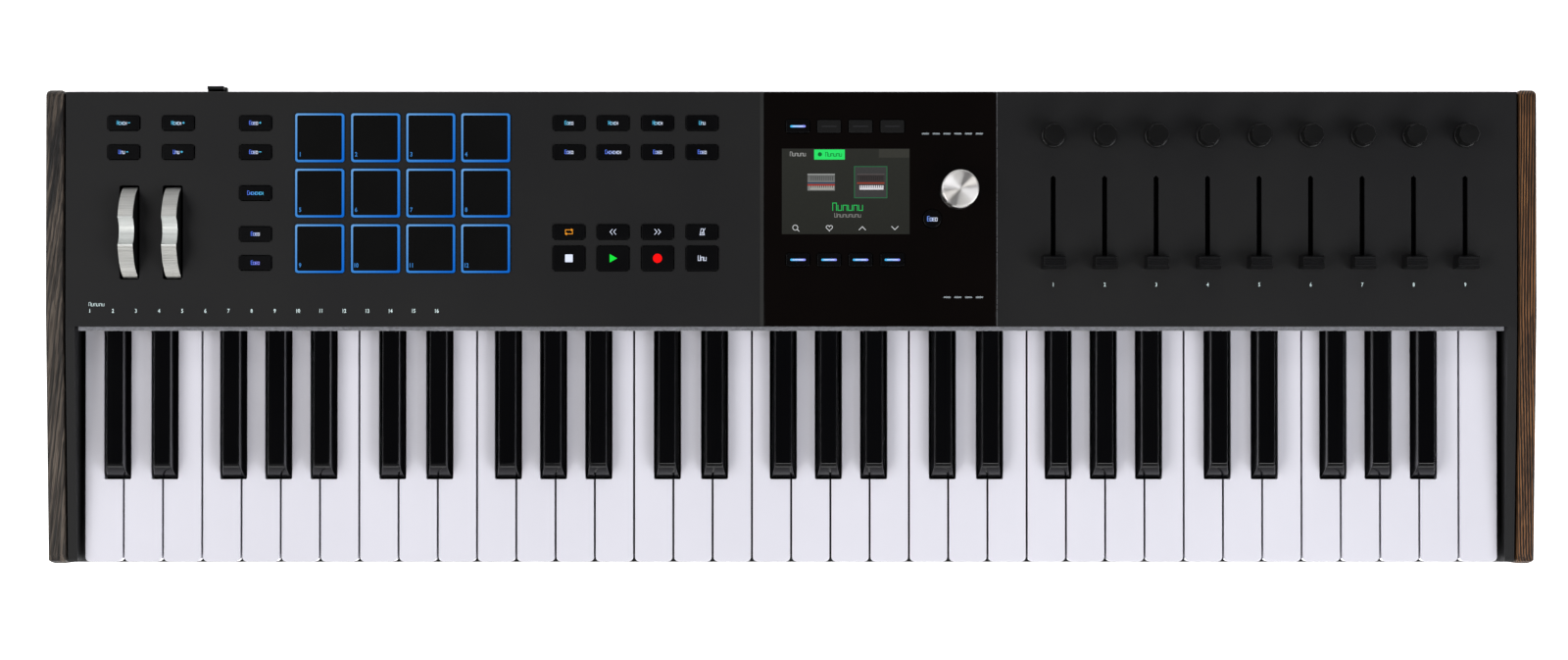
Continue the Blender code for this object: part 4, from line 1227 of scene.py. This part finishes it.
# ------------------------------------------------------------------ display
@dataclass
class DisplayArea:
    """Black glass with a lit picture on it."""

    centre: Point2 = (32.4, 221.3)
    size: Point2 = (75.9, 50.8)
    back_tone: Rgb = (40, 41, 37)
    green: Rgb = (44, 240, 110)
    dash_rows: Tuple[Tuple[float, int], ...] = ((255.6, 6), (158.4, 4))
    dash_last_x: float = 111.8
    dash_step: float = 6.4

    def glass(self) -> None:
        """Glass plate with polished edges."""
        shape = from_cad("display_glass")
        shape.ease_top(0.3, 2)
        shape.piece("display_cover_glass", GLASS, ROOT, "display_glass", ["display_glass"], smooth=30.0,
                    recalc=False)

    def spot(self, across: float, up: float) -> Point2:
        """A point of the picture from its shares of the width and height."""
        return (self.centre[0] + (across - 0.5) * self.size[0], self.centre[1] + (up - 0.5) * self.size[1])

    def patch(self, shape: Shape, low: Point2, high: Point2, layer: int, tone: Rgb,
              far: Optional[Rgb] = None, axis: int = 0) -> None:
        """Add a flat rectangle of the picture.

        Args:
            shape: the picture so far.
            low: lower left corner, in shares of the picture.
            high: upper right corner.
            layer: how many layers lie under it.
            tone: its tone, or the tone at its low end.
            far: the tone at its high end.
            axis: 0 to shade across, 1 to shade upward.
        """
        (x0, y0), (x1, y1) = self.spot(*low), self.spot(*high)
        z = PANEL_Z + 0.02 + 0.02 * layer
        shape.paint(shape.box((x0, y0, z), (x1, y1, z + 0.015)), tone, far, axis)

    def instrument(self, shape: Shape, centre: Point2, body: Rgb, band: Rgb, keys: Rgb) -> None:
        """A small drawing of a keyboard: a panel of controls, a coloured band and a row of keys."""
        x, y = centre
        wide, tall = 0.107, 0.098
        self.patch(shape, (x - wide, y - tall), (x + wide, y + tall), 2, body, scaled(body, 0.75), 1)
        self.patch(shape, (x - wide, y - 0.2 * tall), (x + wide, y - 0.02 * tall), 3, band)
        self.patch(shape, (x - 0.82 * wide, y - 0.9 * tall), (x + 0.93 * wide, y - 0.38 * tall), 3, keys)
        for i in range(11):
            at = x - 0.76 * wide + i * 0.155 * wide
            self.patch(shape, (at, y - 0.68 * tall), (at + 0.05 * wide, y - 0.38 * tall), 4, (30, 30, 32))
            self.patch(shape, (at, y + 0.2 * tall), (at + 0.07 * wide, y + 0.72 * tall), 3,
                       scaled(body, 0.62))
        self.patch(shape, (x - wide, y + 0.86 * tall), (x + wide, y + tall), 3, scaled(body, 1.2))

    def picture(self) -> None:
        """The lit picture: tabs, two drawings of instruments, rows of bars and four icons."""
        shape = Shape()
        self.patch(shape, (0.0, 0.0), (1.0, 1.0), 0, self.back_tone, (44, 45, 41), 1)
        for low, high, layer, tone in (((0.76, 0.895), (0.998, 0.995), 1, (58, 58, 53)),
                                       ((0.253, 0.872), (0.493, 0.99), 1, self.green),
                                       ((0.565, 0.42), (0.826, 0.796), 1, (44, 108, 70)),
                                       ((0.572, 0.43), (0.819, 0.786), 2, (62, 62, 62))):
            self.patch(shape, low, high, layer, tone)
        self.instrument(shape, (0.308, 0.608), (134, 136, 134), (44, 62, 88), (168, 166, 160))
        self.patch(shape, (0.201, 0.565), (0.415, 0.585), 4, (168, 52, 44))
        self.instrument(shape, (0.696, 0.608), (72, 66, 66), (150, 62, 44), (226, 224, 228))
        marks = MarkMaker(PANEL_Z + 0.06, shape, 0.03)
        for across, up, strokes, tone, width, tall in (
                (0.125, 0.938, 6, (176, 176, 174), 9.6, 2.4), (0.405, 0.934, 6, (10, 70, 32), 10.0, 2.4),
                (0.515, 0.3211, 6, (44, 205, 98), 18.6, 4.4), (0.515, 0.222, 9, (150, 150, 146), 16.0, 2.3)):
            marks.word(*self.spot(across, up), strokes, tone, tone, width, tall)
        marks.disc(*self.spot(0.298, 0.934), 1.25, (10, 110, 50))
        self.icons(marks)
        shape.piece("display_picture", PICTURE, ROOT, "screen")

    def icons(self, marks: MarkMaker) -> None:
        """A magnifier, a heart and two arrow heads."""
        tone = (222, 224, 226)
        x, y = self.spot(0.105, 0.07)
        ring = [(x + 1.5 * math.cos(a * math.tau / 16), y + 0.35 + 1.5 * math.sin(a * math.tau / 16))
                for a in range(17)]
        marks.line(ring, 0.36, tone)
        marks.line([(x + 1.15, y - 0.75), (x + 2.2, y - 1.8)], 0.42, tone)
        x = self.spot(0.372, 0.0)[0]
        heart = []
        for step in range(25):
            a = step * math.tau / 24
            rise = 13 * math.cos(a) - 5 * math.cos(2 * a) - 2 * math.cos(3 * a) - math.cos(4 * a)
            heart.append((x + 1.905 * math.sin(a) ** 3, y + 0.2 + 0.115 * rise))
        marks.line(heart, 0.36, tone)
        for share, way in ((0.63, 1.0), (0.885, -1.0)):
            x = self.spot(share, 0.0)[0]
            marks.line([(x - 1.9, y - way * 1.0), (x, y + way * 0.9), (x + 1.9, y - way * 1.0)], 0.42, tone)

    def dashes(self) -> None:
        """Two rows of plain dashes printed on the glass, spelling nothing."""
        marks = MarkMaker(PANEL_Z + 0.01)
        for y, count in self.dash_rows:
            for i in range(count):
                x = self.dash_last_x - i * self.dash_step
                marks.area(rounded((x, y), (4.4, 1.0), 0.48), (150, 154, 156))
        marks.shape.piece("glass_dashes", GREY_PRINT, ROOT, "display_glass")

    def build(self) -> None:
        """Make the glass, its printed dashes and its picture."""
        self.glass()
        self.dashes()
        self.picture()


# ------------------------------------------------------------------ turned controls
@dataclass
class Encoder:
    """Large spun-metal encoder."""

    steps: int = 96
    groove: float = 0.25
    bore: float = 3.4

    def build(self) -> None:
        """Make the knob, with a polar UV map for its spun face."""
        low, high = box_mm("encoder_knob")
        centre = middle_of("encoder_knob")
        r, top, base = (high.x - low.x) / 2, high.z, low.z
        profile = [(0.0, top - 0.35), (0.5, top - 0.36)]
        profile += [(s * (r - 1.1) / 6, top - 0.35 * (1 - (s / 6) ** 2)) for s in range(1, 7)]
        profile += [(r - 0.75, top - 0.02), (r - 0.45, top - 0.2), (r - 0.2, top - 0.6),
                    (r - 0.05, top - 1.2), (r - 0.05, base + 1.2), (r - 0.3, base + 0.4), (r - 0.8, base),
                    (self.bore, base), (self.bore, base + 3.0)]
        shape = Shape()
        made = shape.turned(profile, centre, self.steps)
        for vert in made:
            offset = Vector((vert.co.x - centre[0], vert.co.y - centre[1]))
            on_side = base + 1.0 < vert.co.z < top - 0.9 and offset.length > r - 0.3
            if on_side and round(math.atan2(offset.y, offset.x) / math.tau * self.steps) % 2:
                vert.co.x -= offset.x / offset.length * self.groove
                vert.co.y -= offset.y / offset.length * self.groove
        uv = shape.bm.loops.layers.uv.new("polar")
        for face in shape.bm.faces:
            middle = face.calc_center_median()
            base_angle = math.atan2(middle.y - centre[1], middle.x - centre[0])
            for loop in face.loops:
                x, y = loop.vert.co.x - centre[0], loop.vert.co.y - centre[1]
                radius = math.hypot(x, y)
                angle = math.atan2(y, x) if radius > 1e-4 else base_angle
                turn = (angle - base_angle + math.pi) % math.tau - math.pi
                loop[uv].uv = ((base_angle + turn) / math.tau + 0.5, radius / r)
        shape.piece("encoder_dial", SPUN_SILVER, "encoder_knob", "metal", ["encoder_knob"], smooth=28.0)


@dataclass
class Columns:
    """Nine knobs and nine faders, with their digits."""

    count: int = 9
    digit_y: float = 165.8
    ridge: float = 0.45
    ridge_step: float = 1.3
    knob_radii: Point2 = (6.75, 6.3)
    knob_sides: int = 8
    first_turn: float = 12.0
    turn_step: float = 4.0
    lever_half: Point2 = (1.0, 2.0)

    def knob(self, number: int) -> None:
        """An eight-sided knob on a round skirt."""
        node = f"knob_{number}"
        low, high = box_mm(node)
        centre = middle_of(node)
        r, top, base = (high.x - low.x) / 2, high.z, PANEL_Z + 0.6
        shape = Shape()
        skirt = [(0.0, base), (r - 0.3, base), (r, base + 0.3), (r, base + 2.6), (r - 0.35, base + 3.1),
                 (r - 1.2, base + 3.5), (0.0, base + 3.6)]
        shape.turned(skirt, centre, 40)
        wide, narrow = self.knob_radii
        made = bmesh.ops.create_cone(shape.bm, cap_ends=True, segments=self.knob_sides, radius1=wide,
                                     radius2=narrow, depth=top - base - 3.0)["verts"]
        turn = Matrix.Rotation(math.radians(self.first_turn + self.turn_step * number), 3, "Z")
        bmesh.ops.rotate(shape.bm, cent=(0, 0, 0), matrix=turn, verts=made)
        bmesh.ops.translate(shape.bm, vec=(*centre, (top + base + 3.0) / 2), verts=made)
        shape.fresh()
        shape.bevel(0.35, 3, 30.0, lambda e: min(v.co.z for v in e.verts) > base + 2.8
                    and (Vector(e.verts[0].co.xy) - Vector(centre)).length < 7.0)
        shape.turned([(0.0, low.z), (2.9, low.z), (2.9, base + 0.1), (0.0, base + 0.1)], centre, 20)
        shape.piece(f"control_knob_{number}", KNOB_PLASTIC, node, "button", [node], smooth=25.0)

    def fader(self, number: int) -> None:
        """A fader cap with ridges across its top, on its lever."""
        node = f"fader_{number}"
        low, high = box_mm(node)
        x, y = middle_of(node)
        half_x, half_y = (high.x - low.x) / 2, (high.y - low.y) / 2
        top, base = high.z, PANEL_Z + 1.0
        side = [(y - half_y, base), (y - half_y, base + 3.0), (y - half_y + 0.9, top - 0.8),
                (y - half_y + 1.2, top)]
        for at in (y - self.ridge_step, y, y + self.ridge_step):
            side += [(at - 0.42, top), (at - 0.25, top - self.ridge), (at + 0.25, top - self.ridge),
                     (at + 0.42, top)]
        side += [(y + half_y - 1.2, top), (y + half_y - 0.9, top - 0.8), (y + half_y, base + 3.0),
                 (y + half_y, base)]
        shape = Shape()
        for vert in shape.plate(side, -1.0, 1.0, side_view=True):
            inset = 1.0 * max(0.0, (vert.co.z - base - 3.0) / (top - base - 3.0))
            vert.co.x = x + math.copysign(half_x - inset, vert.co.x)
        shape.fresh()
        shape.bevel(0.3, 2, 60.0, lambda e: abs(abs(e.verts[0].co.x - x) - half_x) < 1.2
                    and abs(e.verts[0].co.x - e.verts[1].co.x) < 0.5)
        half_wide, half_long = self.lever_half
        shape.box((x - half_wide, y - half_long, low.z), (x + half_wide, y + half_long, base + 2.0))
        shape.piece(f"fader_cap_{number}", CAP_PLASTIC, node, "button", [node], smooth=30.0)

    def build(self) -> None:
        """Make every column."""
        digits = Shape()
        for number in range(1, self.count + 1):
            self.knob(number)
            self.fader(number)
            place = (middle_of(f"knob_{number}")[0], self.digit_y)
            print_digits(digits, str(number), place, 2.3, PANEL_Z + 0.01)
        digits.piece("column_digits", PRINT, ROOT, "charcoal_plastic")


# angles from a wheel's top, in degrees: where a scoop may lie, the plain top and the end of the knurl
SCOOP_LIMIT = 60.0
PLAIN_LEAN = 19.5
KNURL_LIMIT = 80.0


@dataclass
class Wheels:
    """Pitch and modulation wheels: satin metal rims, knurled in front, with a thumb scoop."""

    radius: float = 27.5
    centre: Point2 = (197.0, 45.5)
    scoop_radius: float = 8.55
    scoop_depth: float = 6.4
    scoop_lean: float = 18.6
    ridge: float = 0.3
    steps: int = 720

    def rim(self, lean: float) -> float:
        """Radius at an angle from the top, in degrees, positive towards the rear."""
        radius = self.radius - self.ridge
        far = self.radius - self.scoop_depth + self.scoop_radius
        sine = far * math.sin(math.radians(lean))
        if abs(sine) < self.scoop_radius and abs(lean) < SCOOP_LIMIT:
            scoop = far * math.cos(math.radians(lean)) - math.sqrt(self.scoop_radius ** 2 - sine ** 2)
            if scoop < radius:
                return scoop
        if abs(lean) < PLAIN_LEAN:
            return self.radius
        if abs(lean) > KNURL_LIMIT:
            return radius
        pitch, deep = (2.0, self.ridge) if lean < 0 else (1.5, self.ridge * 0.35)
        return self.radius - (deep if (lean / pitch) % 1.0 < 0.5 else 0.0)

    def outline(self) -> List[Point2]:
        """Side view of a wheel."""
        points = []
        for step in range(self.steps):
            angle = math.tau * step / self.steps
            radius = self.rim(math.degrees(math.atan2(math.cos(angle), math.sin(angle))))
            points.append((self.centre[0] + radius * math.cos(angle),
                           self.centre[1] + radius * math.sin(angle)))
        return points

    def build(self) -> None:
        """Make both wheels, each a metal rim with black sides that are painted shade for the shaded flanks,
        and a lighter scoop that is a painted highlight.
        """
        for node in ("pitch_wheel", "modulation_wheel"):
            low, high = box_mm(node)
            shape = Shape()
            shape.plate(self.outline(), low.x + 0.02, high.x - 0.02, side_view=True)
            shape.fresh()
            shape.bevel(0.35, 2, 60.0, lambda e: abs(e.verts[0].co.x - e.verts[1].co.x) < 0.1)
            shape.bm.normal_update()
            for face in shape.bm.faces:
                middle = face.calc_center_median()
                lean = math.degrees(math.atan2(middle.y - self.centre[0], middle.z - self.centre[1]))
                # side faces take the black finish: painted shade for the wheel's shaded flanks
                side = abs(face.normal.x) > 0.95
                # faces near the top take the lighter scoop finish: a painted highlight
                face.material_index = 1 if side else 2 if abs(lean) < self.scoop_lean else 0
            wheel = shape.piece(f"{node}_rim", WHEEL_METAL, node, "metal", [node], smooth=22.0)
            for finish in (WHEEL_SIDE_SHADE, WHEEL_SCOOP_HIGHLIGHT):
                wheel.data.materials.append(finish.material())


@dataclass
class PanelPrint:
    """Channel digits along the panel's front edge."""

    first: float = -416.7
    last: float = -210.7
    y: float = 150.2
    count: int = 16

    def build(self) -> None:
        """Print the digits."""
        shape = Shape()
        for number in range(self.count):
            x = self.first + (self.last - self.first) * number / (self.count - 1)
            print_digits(shape, str(number + 1), (x, self.y), 2.35, PANEL_Z + 0.01)
        marks = MarkMaker(PANEL_Z + 0.01, shape)
        marks.word(self.first + 4.0, self.y + 4.1, 6, PRINT_TONE, PRINT_TONE, 9.4, 2.2)
        shape.piece("channel_digits", PRINT, ROOT, "charcoal_plastic")


# ------------------------------------------------------------------ studio
# name, place, width and height in metres, watts, tone
LAMPS = (("key_softbox", (-1.7, -0.8, 2.3), (1.2, 1.2), 36.0, (255, 253, 250)),
         ("sheen_softbox", (-1.9, 0.5, 2.0), (0.8, 1.4), 20.0, (250, 251, 255)),
         ("fill_softbox", (1.7, -0.8, 2.0), (1.2, 1.2), 36.0, (250, 251, 255)),
         ("front_softbox", (0.7, -1.9, 1.8), (2.0, 0.7), 30.0, (255, 255, 255)),
         ("rear_strip", (0.2, 2.0, 1.7), (2.6, 0.6), 10.0, (255, 255, 255)))


@dataclass
class Studio:
    """Pale floor, soft lights and the camera above the keys."""

    camera_at: Point3 = (-4.27, 68.3, 2338.0)
    lean: float = 0.605
    lens: float = 88.22
    shift: float = 0.05
    table_glow: float = 0.85
    table_half: float = 12.0
    horizon: Rgb = (0.5, 0.505, 0.52)
    overhead: Rgb = (0.055, 0.055, 0.06)

    def floor(self) -> None:
        """A wide pale floor."""
        bm = bmesh.new()
        bmesh.ops.create_grid(bm, x_segments=1, y_segments=1, size=self.table_half)
        mesh = bpy.data.meshes.new("studio_floor")
        bm.to_mesh(mesh)
        bm.free()
        floor = bpy.data.objects.new("studio_floor", mesh)
        bpy.context.scene.collection.objects.link(floor)
        paper = Finish("floor_paper", (246, 246, 247), (250, 250, 250), 0.9, 0.05, specular=0.1, mottle=2.0,
                       grain=300.0, relief=0.01)
        table = paper.material()
        shader = table.node_tree.nodes["Principled BSDF"]
        shader.inputs["Emission Color"].default_value = (1.0, 1.0, 1.0, 1.0)
        shader.inputs["Emission Strength"].default_value = self.table_glow
        mesh.materials.append(table)

    def lamp(self, name: str, at: Point3, size: Point2, power: float, tone: Rgb) -> None:
        """An area lamp that faces the keyboard."""
        light = bpy.data.lights.new(name, "AREA")
        light.shape = "RECTANGLE"
        light.size, light.size_y = size
        light.energy = power
        light.color = linear(tone)
        lamp = bpy.data.objects.new(name, light)
        lamp.location = at
        lamp.rotation_euler = (Vector((0.0, 0.0, 0.05)) - Vector(at)).to_track_quat("-Z", "Y").to_euler()
        bpy.context.scene.collection.objects.link(lamp)

    def sky(self) -> None:
        """A studio surround that is pale at the horizon and dim overhead."""
        world = bpy.data.worlds.new("studio")
        bpy.context.scene.world = world
        world.use_nodes = True
        tree = world.node_tree
        back = tree.nodes["Background"]
        where = tree.nodes.new("ShaderNodeTexCoord")
        split = tree.nodes.new("ShaderNodeSeparateXYZ")
        ramp = tree.nodes.new("ShaderNodeValToRGB")
        stops = zip(ramp.color_ramp.elements, (0.0, 0.75), (self.horizon, self.overhead))
        for stop, share, colour in stops:
            stop.position = share
            stop.color = (*colour, 1.0)
        tree.links.new(where.outputs["Generated"], split.inputs[0])
        tree.links.new(split.outputs["Z"], ramp.inputs["Fac"])
        tree.links.new(ramp.outputs["Color"], back.inputs["Color"])

    def camera(self) -> None:
        """The camera, looking down on the keyboard."""
        data = bpy.data.cameras.new("camera")
        data.lens = self.lens
        data.sensor_width = 36.0
        data.shift_y = self.shift
        data.clip_end = 50.0
        camera = bpy.data.objects.new("camera", data)
        x, y, z = self.camera_at
        camera.location = (x * MM, y * MM + FRONT, z * MM)
        camera.rotation_euler = (math.radians(self.lean), 0.0, 0.0)
        bpy.context.scene.collection.objects.link(camera)
        bpy.context.scene.camera = camera

    def build(self) -> None:
        """Set the stage."""
        bpy.context.scene.view_settings.view_transform = "Standard"
        self.camera()
        self.floor()
        self.sky()
        for lamp in LAMPS:
            self.lamp(*lamp)


def main() -> None:
    """Build the studio and every sub-assembly in order."""
    logging.basicConfig(level=logging.WARNING, format="%(name)s: %(message)s")
    builders = (Studio(), Shell(), Keybed(), ButtonField(), PadGrid(), DisplayArea(), Encoder(), Columns(),
                Wheels(), PanelPrint())
    for builder in builders:
        builder.build()
        LOG.info("built %s", type(builder).__name__)


if __name__ == "__main__":
    main()
